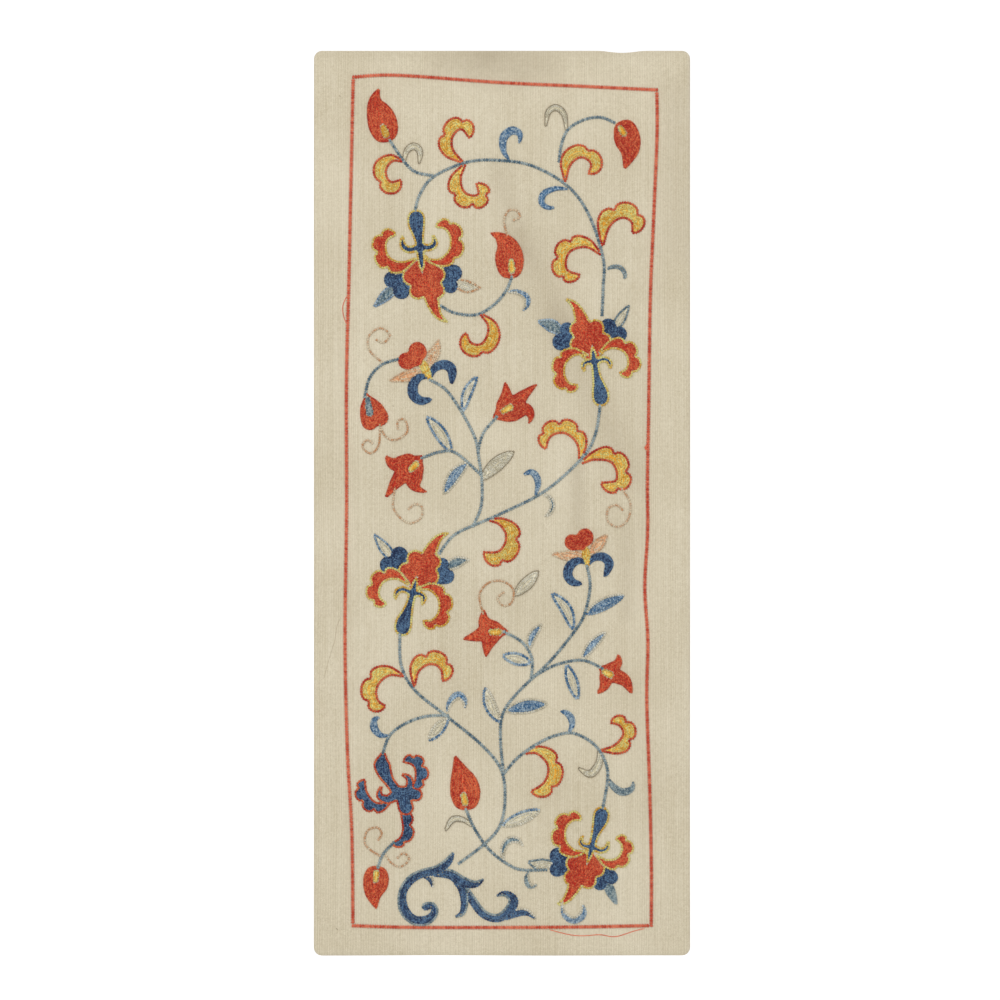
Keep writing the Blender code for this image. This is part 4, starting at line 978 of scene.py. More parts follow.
for tulip, eye in zip(TULIPS, TULIP_EYES):
    stitch_flower(joined_strokes(tulip), eye, "gold")
for bud in BUDS:
    stitch_flower(stroke(widened(bud["spine"], bud_profile, bud["half"])), bud["eye"], "gold")
stitch_flower(joined_strokes(HEART_BUD), HEART_EYE, "stem")
pale_leaf = widened(PALE_LEAF["spine"], lens_profile, PALE_LEAF["half"])
fill_shape(stroke(pale_leaf), "ivory", "umber", FINE_EDGE)
print(len(TULIPS), "tulips and", len(BUDS), "buds")

# %% Cloud leaves
CLOUD_EDGE = 1.55
CLOUD_LEAVES = [
    {"lobes": 2, "width": 7.7,
     "spine": [(-48.5, -56.5), (-54, -55.8), (-57.3, -60), (-55.5, -65), (-50, -63.5)]},
    {"lobes": 3, "width": 8.0,
     "spine": [(-18, -56), (-23.5, -50), (-24.3, -44), (-20.5, -40), (-16.5, -45)]},
    {"lobes": 4, "width": 8.4,
     "spine": [(-17, -56), (-20, -64), (-18, -70.5), (-12.5, -71.5), (-14, -66)]},
    {"lobes": 2, "width": 7.9,
     "spine": [(32.3, -66.5), (34.5, -58), (39.5, -54), (43.8, -57), (42, -62)]},
    {"lobes": 3, "width": 9.2, "spine": [(51, -98.5), (54, -89), (59, -84.6), (64, -86), (64.3, -92.3)]},
    {"lobes": 4, "width": 8.4,
     "spine": [(50, -103.5), (42, -99), (34, -101.5), (33, -109), (40, -111.5)]},
    {"lobes": 2, "width": 7.9,
     "spine": [(-12.5, -131), (-7.5, -138), (-10, -145.5), (-15, -145.5), (-17.3, -140)]},
    {"lobes": 4, "width": 8.3,
     "spine": [(38, -207), (37, -197), (31, -191.7), (24.5, -193.5), (22.5, -200)]},
    {"lobes": 4, "width": 8.6,
     "spine": [(38, -207.8), (46, -205), (54.5, -206.5), (56.5, -214), (48.5, -215)]},
    {"lobes": 3, "width": 9.2,
     "spine": [(-8, -235), (-2, -237), (1.5, -243), (-2, -249.5), (-10, -249.7)]},
    {"lobes": 3, "width": 9.0,
     "spine": [(-48.7, -313.5), (-56, -312.7), (-61.5, -317.5), (-61.5, -324), (-57, -327)]},
    {"lobes": 3, "width": 8.1,
     "spine": [(-43, -318.5), (-41, -310.5), (-35.5, -307), (-31, -309.5), (-30.5, -315.8)]},
    {"lobes": 3, "width": 8.6,
     "spine": [(9.5, -352), (17, -351.7), (22.3, -357.5), (20.5, -365), (13.3, -369.7)]},
    {"lobes": 3, "width": 7.7,
     "spine": [(48.5, -348.8), (55.5, -346.5), (59.8, -341.5), (58, -337.5), (53.3, -336.5)]},
]

for leaf in CLOUD_LEAVES:
    fill_shape(lobed(leaf), "gold", "red", CLOUD_EDGE)
    finish_motif(lobed(leaf, UNDER))
print(len(CLOUD_LEAVES), "cloud leaves")

# %% [markdown]
# ## Loose threads and specks
# An old embroidery has a few loose ends. Here the red line has a loose thread below its last side, a
# short one at the left and a knot at the right, and a hair of umber silk and some specks lie on the cotton.

# %% Loose threads
LOOSE_THREADS = [
    {"silk": "line", "width": 0.42,
     "way": [(24, -439), (33, -441.3), (40, -442), (49, -441.5), (56.5, -442.5), (66, -439.7), (71, -438.5)]},
    {"silk": "line", "width": 0.4, "way": [(-77.6, -123), (-79.4, -127.5), (-79.2, -132), (-77.9, -136)]},
    {"silk": "line", "width": 1.5, "way": [(72.6, -197.2), (71.7, -198.4), (72.4, -199.4)]},
    {"silk": "umber", "width": 0.17,
     "way": [(-80.5, -283), (-82.6, -288), (-83.5, -294.5), (-86.4, -304), (-89, -313.5)]},
    {"silk": "umber", "width": 0.4, "way": [(-82.8, -438.2), (-82.2, -438.8), (-81.9, -439.2)]},
    {"silk": "umber", "width": 0.4, "way": [(-81.3, -22.3), (-81, -22.8), (-80.6, -23)]},
    {"silk": "umber", "width": 0.35, "way": [(-54.6, -177.2), (-54.3, -177.6), (-54.2, -178)]},
    {"silk": "umber", "width": 0.35, "way": [(-10.2, -178.3), (-9.9, -178.6), (-9.5, -178.8)]},
]

for loose in LOOSE_THREADS:
    way = np.array([point.xy for point in curve_through([(*place, 0.0) for place in loose["way"]])])
    laid.setdefault(loose["silk"], []).append((way, loose["width"]))
length = sum(np.hypot(*np.diff(line, axis=0).T).sum() for lines in rows.values() for line, _ in lines)
print(len(LOOSE_THREADS), "loose threads; metres of rows:", round(length * MM, 1))

# %% [markdown]
# ## Thread and cotton finishes
# Silk floss is soft and glossy, and no two stitches take the light alike. So each stitch carries
# its own tone, a number from dark to light, and one shader group turns that number into the silk's
# colour; it also paints the deep places between the stitches darker, as painted shade. The cotton
# has fine upright ribs, whose shade is painted into its colour, uneven yarns, and soft dark patches:
# painted shade along its creases, and darker patches elsewhere.

# %% Colours and node helpers
SILKS = {
    "red": {"dark": (200, 42, 16), "light": (255, 134, 82)},
    "gold": {"dark": (240, 176, 46), "light": (255, 250, 160)},
    "navy": {"dark": (8, 42, 88), "light": (110, 150, 188)},
    "blue": {"dark": (64, 116, 160), "light": (206, 226, 236)},
    "stem": {"dark": (84, 116, 134), "light": (196, 210, 208)},
    "ivory": {"dark": (220, 211, 182), "light": (255, 250, 230)},
    "peach": {"dark": (232, 172, 122), "light": (255, 238, 204)},
    "umber": {"dark": (180, 164, 134), "light": (210, 196, 168)},
}


def linear(shade):
    """A colour from 0 to 255, as a painter's chart gives it, turned into light."""
    return (*(((value / 255 + 0.055) / 1.055) ** 2.4 for value in shade), 1.0)


def add_node(tree, kind, inputs=None, **settings):
    made = tree.nodes.new(kind)
    for name, value in settings.items():
        setattr(made, name, value)
    for name, value in (inputs or {}).items():
        socket = made.inputs[name]
        if isinstance(value, bpy.types.NodeSocket):
            tree.links.new(value, socket)
        else:
            socket.default_value = value
    return made


def math_node(tree, operation, *values):
    made = add_node(tree, "ShaderNodeMath", dict(enumerate(values)), operation=operation)
    return made.outputs[0]


def mix_colors(tree, share, one, other):
    made = add_node(tree, "ShaderNodeMix", {0: share, 6: one, 7: other}, data_type="RGBA")
    return made.outputs[2]


def new_group(name, kind, inputs, outputs):
    """A node group with named sockets, and its input and output nodes."""
    group = bpy.data.node_groups.new(name, kind)
    for title, socket in inputs.items():
        group.interface.new_socket(title, in_out="INPUT", socket_type=socket)
    for title, socket in outputs.items():
        group.interface.new_socket(title, in_out="OUTPUT", socket_type=socket)
    return group, group.nodes.new("NodeGroupInput"), group.nodes.new("NodeGroupOutput")


# %% The silk group
FIBRE = 4200.0
DYE_PATCH = 45.0
# How dark the deep places between the stitches are painted: painted shade.
PAINTED_DIP_SHADE = 0.62
GLINT_AND_FLECK = 1350.0
# The colour of the painted shadow between the stitches.
PAINTED_GROOVE_SHADOW = (34, 26, 24)
FLOSS_RELIEF = 0.0001

silk_group, given, made = new_group(
    "floss_tone", "ShaderNodeTree",
    {"Place": "NodeSocketVector", "Tone": "NodeSocketFloat", "Painted shade": "NodeSocketFloat",
     "Dark": "NodeSocketColor", "Light": "NodeSocketColor"},
    {"Color": "NodeSocketColor", "Height": "NodeSocketFloat", "Gloss": "NodeSocketFloat"})
fibres = add_node(silk_group, "ShaderNodeTexNoise", {
    "Vector": given.outputs["Place"], "Scale": FIBRE, "Detail": 2.0})
patches = add_node(silk_group, "ShaderNodeTexNoise", {
    "Vector": given.outputs["Place"], "Scale": DYE_PATCH, "Detail": 3.0})
glints_and_flecks = add_node(silk_group, "ShaderNodeTexNoise", {
    "Vector": given.outputs["Place"], "Scale": GLINT_AND_FLECK, "Detail": 1.0})


def around_zero(group, socket, strength):
    """A texture's value, moved to lie around zero, times a strength."""
    return math_node(group, "MULTIPLY", math_node(group, "SUBTRACT", socket, 0.5), strength)


tone = given.outputs["Tone"]
# Fine specks make the floss lighter and darker here and there; the light ones are painted highlights, glints
# on the silk.
for noise, strength in ((patches, 1.0), (fibres, 0.6), (glints_and_flecks, 2.2)):
    tone = math_node(silk_group, "ADD", tone, around_zero(silk_group, noise.outputs[0], strength))
tone = add_node(silk_group, "ShaderNodeClamp", {0: tone}).outputs[0]
lit_and_dyed = mix_colors(silk_group, tone, given.outputs["Dark"], given.outputs["Light"])
# Painted shade: the deeper a place lies between the stitches, the more its colour goes towards the painted
# shadow colour.
shade = math_node(silk_group, "MULTIPLY", given.outputs["Painted shade"], PAINTED_DIP_SHADE)
silk_group.links.new(mix_colors(silk_group, shade, lit_and_dyed, linear(PAINTED_GROOVE_SHADOW)), made.inputs["Color"])
silk_group.links.new(fibres.outputs[0], made.inputs["Height"])
silk_group.links.new(math_node(silk_group, "MULTIPLY_ADD", tone, -0.14, 0.6), made.inputs["Gloss"])


def silk_finish(name, dark, light, painted_shade_share=1.0):
    finish = bpy.data.materials.new(name)
    finish.use_nodes = True
    tree = finish.node_tree
    shader = tree.nodes["Principled BSDF"]
    place = add_node(tree, "ShaderNodeTexCoord").outputs["Object"]
    stitch_tone = add_node(tree, "ShaderNodeAttribute", attribute_name="tone").outputs["Fac"]
    floss = add_node(tree, "ShaderNodeGroup", node_tree=silk_group)
    tree.links.new(place, floss.inputs["Place"])
    tree.links.new(stitch_tone, floss.inputs["Tone"])
    # The stitch's painted shade between the stitches, less for some silks.
    stitch_painted_shade = add_node(tree, "ShaderNodeAttribute", attribute_name="dip").outputs["Fac"]
    tree.links.new(math_node(tree, "MULTIPLY", stitch_painted_shade, painted_shade_share), floss.inputs["Painted shade"])
    floss.inputs["Dark"].default_value = linear(dark)
    floss.inputs["Light"].default_value = linear(light)
    bump = add_node(tree, "ShaderNodeBump", {
        "Height": floss.outputs["Height"], "Strength": 0.35, "Distance": FLOSS_RELIEF})
    tree.links.new(floss.outputs["Color"], shader.inputs["Base Color"])
    tree.links.new(floss.outputs["Gloss"], shader.inputs["Roughness"])
    tree.links.new(bump.outputs["Normal"], shader.inputs["Normal"])
    shader.inputs["Sheen Weight"].default_value = 0.25
    shader.inputs["Sheen Roughness"].default_value = 0.4
    shader.inputs["Specular IOR Level"].default_value = 0.35
    return finish


finishes = {name: silk_finish(f"{name}_silk", **silk) for name, silk in SILKS.items()}
# The red line gets less painted shade between its stitches.
finishes["line"] = silk_finish("red_line_silk", (206, 68, 40), (246, 136, 100), painted_shade_share=0.45)
print("Silks:", list(finishes))

# %% The cotton
RIB_PITCH, WEFT_PITCH = 0.82, 0.62
# The last colour is that of the dark patches: painted shade along the creases, darker cotton elsewhere.
COTTON = {"dark": (198, 185, 155), "light": (240, 231, 208), "patch_and_shade": (148, 130, 102)}
WEAVE_RELIEF = 0.00014
weave_group, given, made = new_group(
    "ribbed_weave", "ShaderNodeTree",
    {"Place": "NodeSocketVector", "Rib pitch": "NodeSocketFloat", "Yarns": "NodeSocketFloat"},
    {"Height": "NodeSocketFloat", "Rib": "NodeSocketFloat", "Streak": "NodeSocketFloat",
     "Grain": "NodeSocketFloat"})
split = add_node(weave_group, "ShaderNodeSeparateXYZ", {0: given.outputs["Place"]})
wander = add_node(weave_group, "ShaderNodeTexNoise", {
    "Vector": add_node(weave_group, "ShaderNodeVectorMath", {0: given.outputs["Place"], 1: (90.0, 1.0, 14.0)},
                       operation="MULTIPLY").outputs[0], "Scale": 1.0, "Detail": 2.0})
turns = math_node(weave_group, "DIVIDE", split.outputs["X"], given.outputs["Rib pitch"])
turns = math_node(weave_group, "ADD", turns, math_node(weave_group, "MULTIPLY", wander.outputs[0], 2.4))
rib = math_node(weave_group, "SINE", math_node(weave_group, "MULTIPLY", turns, 2 * math.pi))
rib = math_node(weave_group, "MULTIPLY_ADD", rib, 0.5, 0.5)
streak = add_node(weave_group, "ShaderNodeTexNoise", {
    "Vector": add_node(weave_group, "ShaderNodeVectorMath", {0: given.outputs["Place"], 1: (620.0, 1.0, 9.0)},
                       operation="MULTIPLY").outputs[0], "Scale": 1.0, "Detail": 3.0, "Roughness": 0.65})
yarns = add_node(weave_group, "ShaderNodeTexNoise", {
    "Vector": given.outputs["Place"], "Scale": given.outputs["Yarns"], "Detail": 2.0})
weft = math_node(weave_group, "SINE", math_node(weave_group, "ADD", math_node(
    weave_group, "MULTIPLY", split.outputs["Z"], 2 * math.pi / (WEFT_PITCH * MM)),
    math_node(weave_group, "MULTIPLY", yarns.outputs[0], 9.0)))
grain = math_node(weave_group, "MULTIPLY_ADD", math_node(weave_group, "MULTIPLY", weft, rib), 0.3, 0.5)
grain = math_node(weave_group, "ADD", grain, around_zero(weave_group, yarns.outputs[0], 0.8))
height = math_node(weave_group, "ADD", math_node(weave_group, "MULTIPLY", rib, 0.6), grain)
weave_group.links.new(grain, made.inputs["Grain"])
weave_group.links.new(height, made.inputs["Height"])
weave_group.links.new(rib, made.inputs["Rib"])
weave_group.links.new(streak.outputs[0], made.inputs["Streak"])

cotton = bpy.data.materials.new("aged_cotton")
cotton.use_nodes = True
tree = cotton.node_tree
shader = tree.nodes["Principled BSDF"]
place = add_node(tree, "ShaderNodeTexCoord").outputs["Object"]
weave = add_node(tree, "ShaderNodeGroup", node_tree=weave_group)
tree.links.new(place, weave.inputs["Place"])
weave.inputs["Rib pitch"].default_value = RIB_PITCH * MM
weave.inputs["Yarns"].default_value = 2600.0
crease_shade_and_patches = add_node(tree, "ShaderNodeAttribute", attribute_name="crease_shade_and_patches").outputs["Fac"]
cloud = add_node(tree, "ShaderNodeTexNoise", {"Vector": place, "Scale": 22.0, "Detail": 4.0}).outputs[0]
fleck = add_node(tree, "ShaderNodeTexNoise", {"Vector": place, "Scale": 700.0, "Detail": 2.0}).outputs[0]
# Painted shade: the ribs are painted lighter on their crowns and darker between them.
light = math_node(tree, "MULTIPLY_ADD", weave.outputs["Rib"], 0.4, 0.26)
MARBLING = ((0.6, weave.outputs["Streak"]), (1.2, weave.outputs["Grain"]), (0.7, cloud), (0.5, fleck))
for strength, socket in MARBLING:
    light = math_node(tree, "ADD", light, around_zero(tree, socket, strength))
light = add_node(tree, "ShaderNodeClamp", {0: light}).outputs[0]
color = mix_colors(tree, light, linear(COTTON["dark"]), linear(COTTON["light"]))
# Painted shade: the patches along the creases darken the cotton where shade falls in them; the others only
# darken it.
patches_and_shade = math_node(tree, "MULTIPLY", crease_shade_and_patches, math_node(tree, "MULTIPLY_ADD", weave.outputs["Streak"], 1.2, 0.3))
patches_and_shade = math_node(tree, "MULTIPLY", patches_and_shade, math_node(tree, "MULTIPLY_ADD", cloud, 1.8, 0.1))
patches_and_shade = add_node(tree, "ShaderNodeClamp", {0: patches_and_shade}).outputs[0]
color = mix_colors(tree, patches_and_shade, color, linear(COTTON["patch_and_shade"]))
bump = add_node(tree, "ShaderNodeBump", {
    "Height": weave.outputs["Height"], "Strength": 0.7, "Distance": WEAVE_RELIEF})
tree.links.new(color, shader.inputs["Base Color"])
tree.links.new(bump.outputs["Normal"], shader.inputs["Normal"])
shader.inputs["Roughness"].default_value = 0.92
shader.inputs["Sheen Weight"].default_value = 0.15
shader.inputs["Specular IOR Level"].default_value = 0.2
print("The cotton's ribs are", RIB_PITCH, "mm apart")

# %% [markdown]
# ## One link of chain stitch
# A chain stitch is a small loop that the next stitch holds down. Seen from above it is a teardrop
# with a dimple in the middle. It is repeated thousands of times, so it has only a few faces. On the back
# of the cloth each stitch shows as one short dash.

# %% Link and dash meshes
LINK_LENGTH, LINK_HEIGHT = 1.36, 0.5
LINK_TILT = 0.22
RIM_SHARE = 0.66
TEARDROP = 0.18
FOOT_DEPTH = 0.1
CROWN = {"ahead": 0.05, "height": 0.4}
DASH = {"length": 1.15, "width": 0.66, "height": 0.3}


def closed_mesh(name, rings, poles, painted_shades):
    """A closed form from rings of places, with a pole above the last ring and below the first.

    Each ring, then the lower and the upper pole, gets a painted shade: the deeper it lies between
    the stitches, the darker it is painted.
    """
    form = bmesh.new()
    painted_shade_layer = form.verts.layers.float.new("dip")
    loops = [[form.verts.new(place) for place in ring] for ring in rings]
    foot, crown = (form.verts.new(place) for place in poles)
    for verts, dip in zip((*loops, [foot], [crown]), painted_shades):
        for vert in verts:
            vert[painted_shade_layer] = dip
    sides = len(rings[0])
    for k in range(sides):
        after = (k + 1) % sides
        for low, high in zip(loops, loops[1:]):
            form.faces.new((low[k], low[after], high[after], high[k]))
        form.faces.new((loops[0][after], loops[0][k], foot))
        form.faces.new((loops[-1][k], loops[-1][after], crown))
    for face in form.faces:
        face.smooth = True
    bmesh.ops.recalc_face_normals(form, faces=form.faces)
    mesh = bpy.data.meshes.new(name)
    form.to_mesh(mesh)
    form.free()
    return mesh


def link_mesh(name, sides):
    """A link one millimetre wide: a teardrop with a raised rim, higher at its round end."""
    # Painted shade: the base ring and the foot are painted fully dark, the dimple half, the raised rim not at
    # all.
    rings, painted_shades = [], (1.0, 0.0, 1.0, 0.55)
    for share, lift in ((1.0, 0.0), (RIM_SHARE, 1.0)):
        ring = []
        for k in range(sides):
            turn = 2 * math.pi * k / sides
            x = share * LINK_LENGTH / 2 * math.cos(turn)
            y = share * 0.5 * math.sin(turn) * (1 + TEARDROP * math.cos(turn))
            ring.append((x * MM, y * MM, (lift * LINK_HEIGHT + LINK_TILT * x / LINK_LENGTH) * MM))
        rings.append(ring)
    crown = (CROWN["ahead"] * MM, 0, CROWN["height"] * LINK_HEIGHT * MM)
    return closed_mesh(name, rings, [(0, 0, -FOOT_DEPTH * MM), crown], painted_shades)


def dash_mesh(name):
    half, wide, high = (DASH[size] * MM / 2 for size in ("length", "width", "height"))
    ring = [(half, 0, 0), (0, wide, 0), (-half, 0, 0), (0, -wide, 0)]
    # The dash's rim gets a little painted shade.
    return closed_mesh(name, [ring], [(0, 0, -high), (0, 0, high)], (0.3, 0.0, 0.0))


patterns = {}
for name, mesh in (("fill_link", link_mesh("fill_link", 6)), ("edge_link", link_mesh("edge_link", 8)),
                   ("back_dash", dash_mesh("back_dash"))):
    patterns[name] = bpy.data.objects.new(name, mesh)
    bpy.context.collection.objects.link(patterns[name])
print("Faces in each:", {name: len(pattern.data.polygons) for name, pattern in patterns.items()})

# %% [markdown]
# ## Geometry Nodes that stitch a row
# The rows become a mesh of plain edges. The tree turns them into curves, cuts these into stitch
# lengths, runs a round thread along them, and sets a link on each cut, turned along the row with its
# top towards the viewer. Behind the cloth it sets the dashes. Each stitch gets its own tone.

# %% The tree
THREAD_SIDES, THREAD_SHARE = 4, 0.4
# How far the tones of rows and of stitches, a stitch's turn in radians and its height may vary.
ROW_TONES, STITCH_TONES = (0.0, 0.3), (-0.1, 0.8)
SWAY, PLUMP = (-0.16, 0.16), (0.86, 1.14)
# How dark the round thread under the links is painted: painted shade between the stitches.
THREAD_PAINTED_SHADE = 0.85
TREE_INPUTS = {
    "Rows": "NodeSocketGeometry", "Stitch length": "NodeSocketFloat", "Thickest": "NodeSocketFloat",
    "Link": "NodeSocketObject", "Dash": "NodeSocketObject", "To the back": "NodeSocketFloat",
    "Seed": "NodeSocketInt", "Silk": "NodeSocketMaterial",
}
stitch_tree, given, made = new_group(
    "rows_of_chain_stitch", "GeometryNodeTree", TREE_INPUTS, {"Stitches": "NodeSocketGeometry"})


def random_value(low, high, seed, **more):
    made_random = add_node(stitch_tree, "FunctionNodeRandomValue", data_type="FLOAT")
    made_random.inputs[2].default_value, made_random.inputs[3].default_value = low, high
    stitch_tree.links.new(seed, made_random.inputs["Seed"])
    for name, socket in more.items():
        stitch_tree.links.new(socket, made_random.inputs[name])
    return made_random.outputs[1]


seed = given.outputs["Seed"]
seeds = [seed]
for step in range(3):
    later = add_node(stitch_tree, "ShaderNodeMath", {0: seed, 1: 11.0 * (step + 1)}, operation="ADD")
    seeds.append(later.outputs[0])
curve = add_node(stitch_tree, "GeometryNodeMeshToCurve", {"Mesh": given.outputs["Rows"]}).outputs[0]
resample = add_node(stitch_tree, "GeometryNodeResampleCurve", {"Curve": curve}, mode="LENGTH")
stitch_tree.links.new(given.outputs["Stitch length"], resample.inputs["Length"])
row_index = add_node(stitch_tree, "GeometryNodeCurveOfPoint").outputs["Curve Index"]
row_tone = random_value(*ROW_TONES, seeds[1], ID=row_index)
stitch_tone = random_value(*STITCH_TONES, seeds[0])
both = add_node(stitch_tree, "ShaderNodeMath", {0: row_tone, 1: stitch_tone}, operation="ADD").outputs[0]
toned = add_node(stitch_tree, "GeometryNodeStoreNamedAttribute", {
    "Geometry": resample.outputs[0], "Name": "tone", "Value": both},
    data_type="FLOAT", domain="POINT").outputs[0]

width = add_node(
    stitch_tree, "GeometryNodeInputNamedAttribute", {"Name": "row_width"}, data_type="FLOAT").outputs[0]
reach = add_node(stitch_tree, "ShaderNodeMath", {0: width, 1: THREAD_SHARE * MM}, operation="MULTIPLY")
reach = add_node(stitch_tree, "ShaderNodeMath", {
    0: reach.outputs[0], 1: given.outputs["Thickest"]}, operation="MINIMUM").outputs[0]
round_profile = add_node(
    stitch_tree, "GeometryNodeCurvePrimitiveCircle", {"Resolution": THREAD_SIDES, "Radius": 1.0},
    mode="RADIUS")
thread = add_node(stitch_tree, "GeometryNodeCurveToMesh", {
    "Curve": toned, "Profile Curve": round_profile.outputs[0], "Scale": reach, "Fill Caps": True}).outputs[0]
thread = add_node(stitch_tree, "GeometryNodeSetShadeSmooth", {0: thread}).outputs[0]
# The round thread lies deep under the links, so it is painted dark, as painted shade.
thread = add_node(stitch_tree, "GeometryNodeStoreNamedAttribute", {
    "Geometry": thread, "Name": "dip", "Value": THREAD_PAINTED_SHADE}, data_type="FLOAT", domain="POINT").outputs[0]

facing = add_node(stitch_tree, "FunctionNodeAlignRotationToVector", {"Vector": (0.0, -1.0, 0.0)}, axis="Z")
tangent = add_node(stitch_tree, "GeometryNodeInputTangent").outputs[0]
along = add_node(stitch_tree, "FunctionNodeAlignRotationToVector", {
    "Rotation": facing.outputs[0], "Vector": tangent}, axis="X", pivot_axis="Z")
sway = add_node(stitch_tree, "FunctionNodeAxisAngleToRotation", {
    "Axis": (0.0, 0.0, 1.0), "Angle": random_value(*SWAY, seeds[2])})
turned = add_node(stitch_tree, "FunctionNodeRotateRotation", {
    "Rotation": along.outputs[0], "Rotate By": sway.outputs[0]}, rotation_space="LOCAL").outputs[0]
plump = random_value(*PLUMP, seeds[3])
scale = add_node(stitch_tree, "ShaderNodeCombineXYZ", {0: 1.0, 1: width, 2: plump}).outputs[0]


def set_on_points(pattern, size):
    info = add_node(stitch_tree, "GeometryNodeObjectInfo", {"Object": given.outputs[pattern]})
    copies = add_node(stitch_tree, "GeometryNodeInstanceOnPoints", {
        "Points": toned, "Instance": info.outputs["Geometry"], "Rotation": turned, "Scale": size}).outputs[0]
    tone_here = add_node(
        stitch_tree, "GeometryNodeInputNamedAttribute", {"Name": "tone"}, data_type="FLOAT").outputs[0]
    return add_node(stitch_tree, "GeometryNodeStoreNamedAttribute", {
        "Geometry": copies, "Name": "tone", "Value": tone_here},
        data_type="FLOAT", domain="INSTANCE").outputs[0]


links_on_rows = set_on_points("Link", scale)
dashes = set_on_points("Dash", (1.0, 1.0, 1.0))
back = add_node(stitch_tree, "ShaderNodeCombineXYZ", {1: given.outputs["To the back"]}).outputs[0]
dashes = add_node(stitch_tree, "GeometryNodeTranslateInstances", {
    "Instances": dashes, "Translation": back, "Local Space": False}).outputs[0]
join = add_node(stitch_tree, "GeometryNodeJoinGeometry")
for part_geometry in (dashes, links_on_rows, thread):
    stitch_tree.links.new(part_geometry, join.inputs[0])
real = add_node(stitch_tree, "GeometryNodeRealizeInstances", {0: join.outputs[0]}).outputs[0]
finished = add_node(stitch_tree, "GeometryNodeSetMaterial", {
    "Geometry": real, "Material": given.outputs["Silk"]}).outputs[0]
stitch_tree.links.new(finished, made.inputs[0])
print("Nodes in the stitch tree:", len(stitch_tree.nodes))

# %% Rows to meshes
ON_FACE = -0.05


def socket_id(tree_, title):
    """The identifier by which a modifier knows one of its tree's inputs."""
    return next(item.identifier for item in tree_.interface.items_tree
                if item.name == title and getattr(item, "in_out", "") == "INPUT")


def edge_mesh(name, lines, behind):
    """Rows as a mesh of edges so far behind the cloth's face, with each row's width on its points."""
    places, edges, widths = [], [], []
    for line, row_width in lines:
        closed = len(line) > 3 and np.allclose(line[0], line[-1])
        kept = line[:-1] if closed else line
        first, count = len(places), len(kept)
        depths = face_y(kept[:, 0], kept[:, 1]) + behind
        places += [(x * MM, y * MM, z * MM) for (x, z), y in zip(kept, depths)]
        edges += [(first + k, first + k + 1) for k in range(count - 1)]
        if closed:
            edges.append((first + count - 1, first))
        widths += [row_width] * count
    mesh = bpy.data.meshes.new(name)
    mesh.from_pydata(places, edges, [])
    mesh.attributes.new("row_width", "FLOAT", "POINT").data.foreach_set("value", widths)
    return mesh


def run_tree(name, lines, tree_, values, behind=ON_FACE):
    """The tree's result on these rows, as a plain mesh."""
    carrier = bpy.data.objects.new(name, edge_mesh(name, lines, behind))
    bpy.context.collection.objects.link(carrier)
    nodes = carrier.modifiers.new("Stitching", "NODES")
    nodes.node_group = tree_
    for title, value in values.items():
        nodes[socket_id(tree_, title)] = value
    graph = bpy.context.evaluated_depsgraph_get()
    result = bpy.data.meshes.new_from_object(
        carrier.evaluated_get(graph), preserve_all_data_layers=True, depsgraph=graph)
    bpy.data.objects.remove(carrier)
    return result


def join_meshes(name, meshes, finish):
    """Several meshes of one finish as one object at the origin."""
    whole = bmesh.new()
    for mesh in meshes:
        whole.from_mesh(mesh)
    for face in whole.faces:
        face.material_index = 0
    joined_mesh = bpy.data.meshes.new(name)
    whole.to_mesh(joined_mesh)
    whole.free()
    joined_mesh.materials.append(finish)
    piece = bpy.data.objects.new(name, joined_mesh)
    bpy.context.collection.objects.link(piece)
    return piece


# %% Laid threads
LAID_TONES = (0.0, 0.6)

laid_tree, given, made = new_group(
    "laid_threads", "GeometryNodeTree",
    {"Rows": "NodeSocketGeometry", "Seed": "NodeSocketInt", "Silk": "NodeSocketMaterial"},
    {"Threads": "NodeSocketGeometry"})
curve = add_node(laid_tree, "GeometryNodeMeshToCurve", {"Mesh": given.outputs["Rows"]}).outputs[0]
width = add_node(
    laid_tree, "GeometryNodeInputNamedAttribute", {"Name": "row_width"}, data_type="FLOAT").outputs[0]
radius = add_node(laid_tree, "ShaderNodeMath", {0: width, 1: 0.5 * MM}, operation="MULTIPLY").outputs[0]
tones = add_node(laid_tree, "FunctionNodeRandomValue", data_type="FLOAT")
tones.inputs[2].default_value, tones.inputs[3].default_value = LAID_TONES
row_index = add_node(laid_tree, "GeometryNodeCurveOfPoint").outputs["Curve Index"]
laid_tree.links.new(row_index, tones.inputs["ID"])
laid_tree.links.new(given.outputs["Seed"], tones.inputs["Seed"])
curve = add_node(laid_tree, "GeometryNodeStoreNamedAttribute", {
    "Geometry": curve, "Name": "tone", "Value": tones.outputs[1]},
    data_type="FLOAT", domain="POINT").outputs[0]
profile = add_node(
    laid_tree, "GeometryNodeCurvePrimitiveCircle", {"Resolution": THREAD_SIDES, "Radius": 1.0}, mode="RADIUS")
tube = add_node(laid_tree, "GeometryNodeCurveToMesh", {
    "Curve": curve, "Profile Curve": profile.outputs[0], "Scale": radius, "Fill Caps": True}).outputs[0]
tube = add_node(laid_tree, "GeometryNodeSetShadeSmooth", {0: tube}).outputs[0]
real = add_node(laid_tree, "GeometryNodeRealizeInstances", {0: tube}).outputs[0]
finished = add_node(laid_tree, "GeometryNodeSetMaterial", {
    "Geometry": real, "Material": given.outputs["Silk"]}).outputs[0]
laid_tree.links.new(finished, made.inputs[0])
print("Laid threads:", {silk: len(lines) for silk, lines in laid.items()})

# %% [markdown]
# ## Stitching each silk
# All the rows of one silk make one piece. The fine rows of the fills and the broad rows of stems and
# edges have links of their own size. Each piece stands for the plain reliefs of the part that it covers.

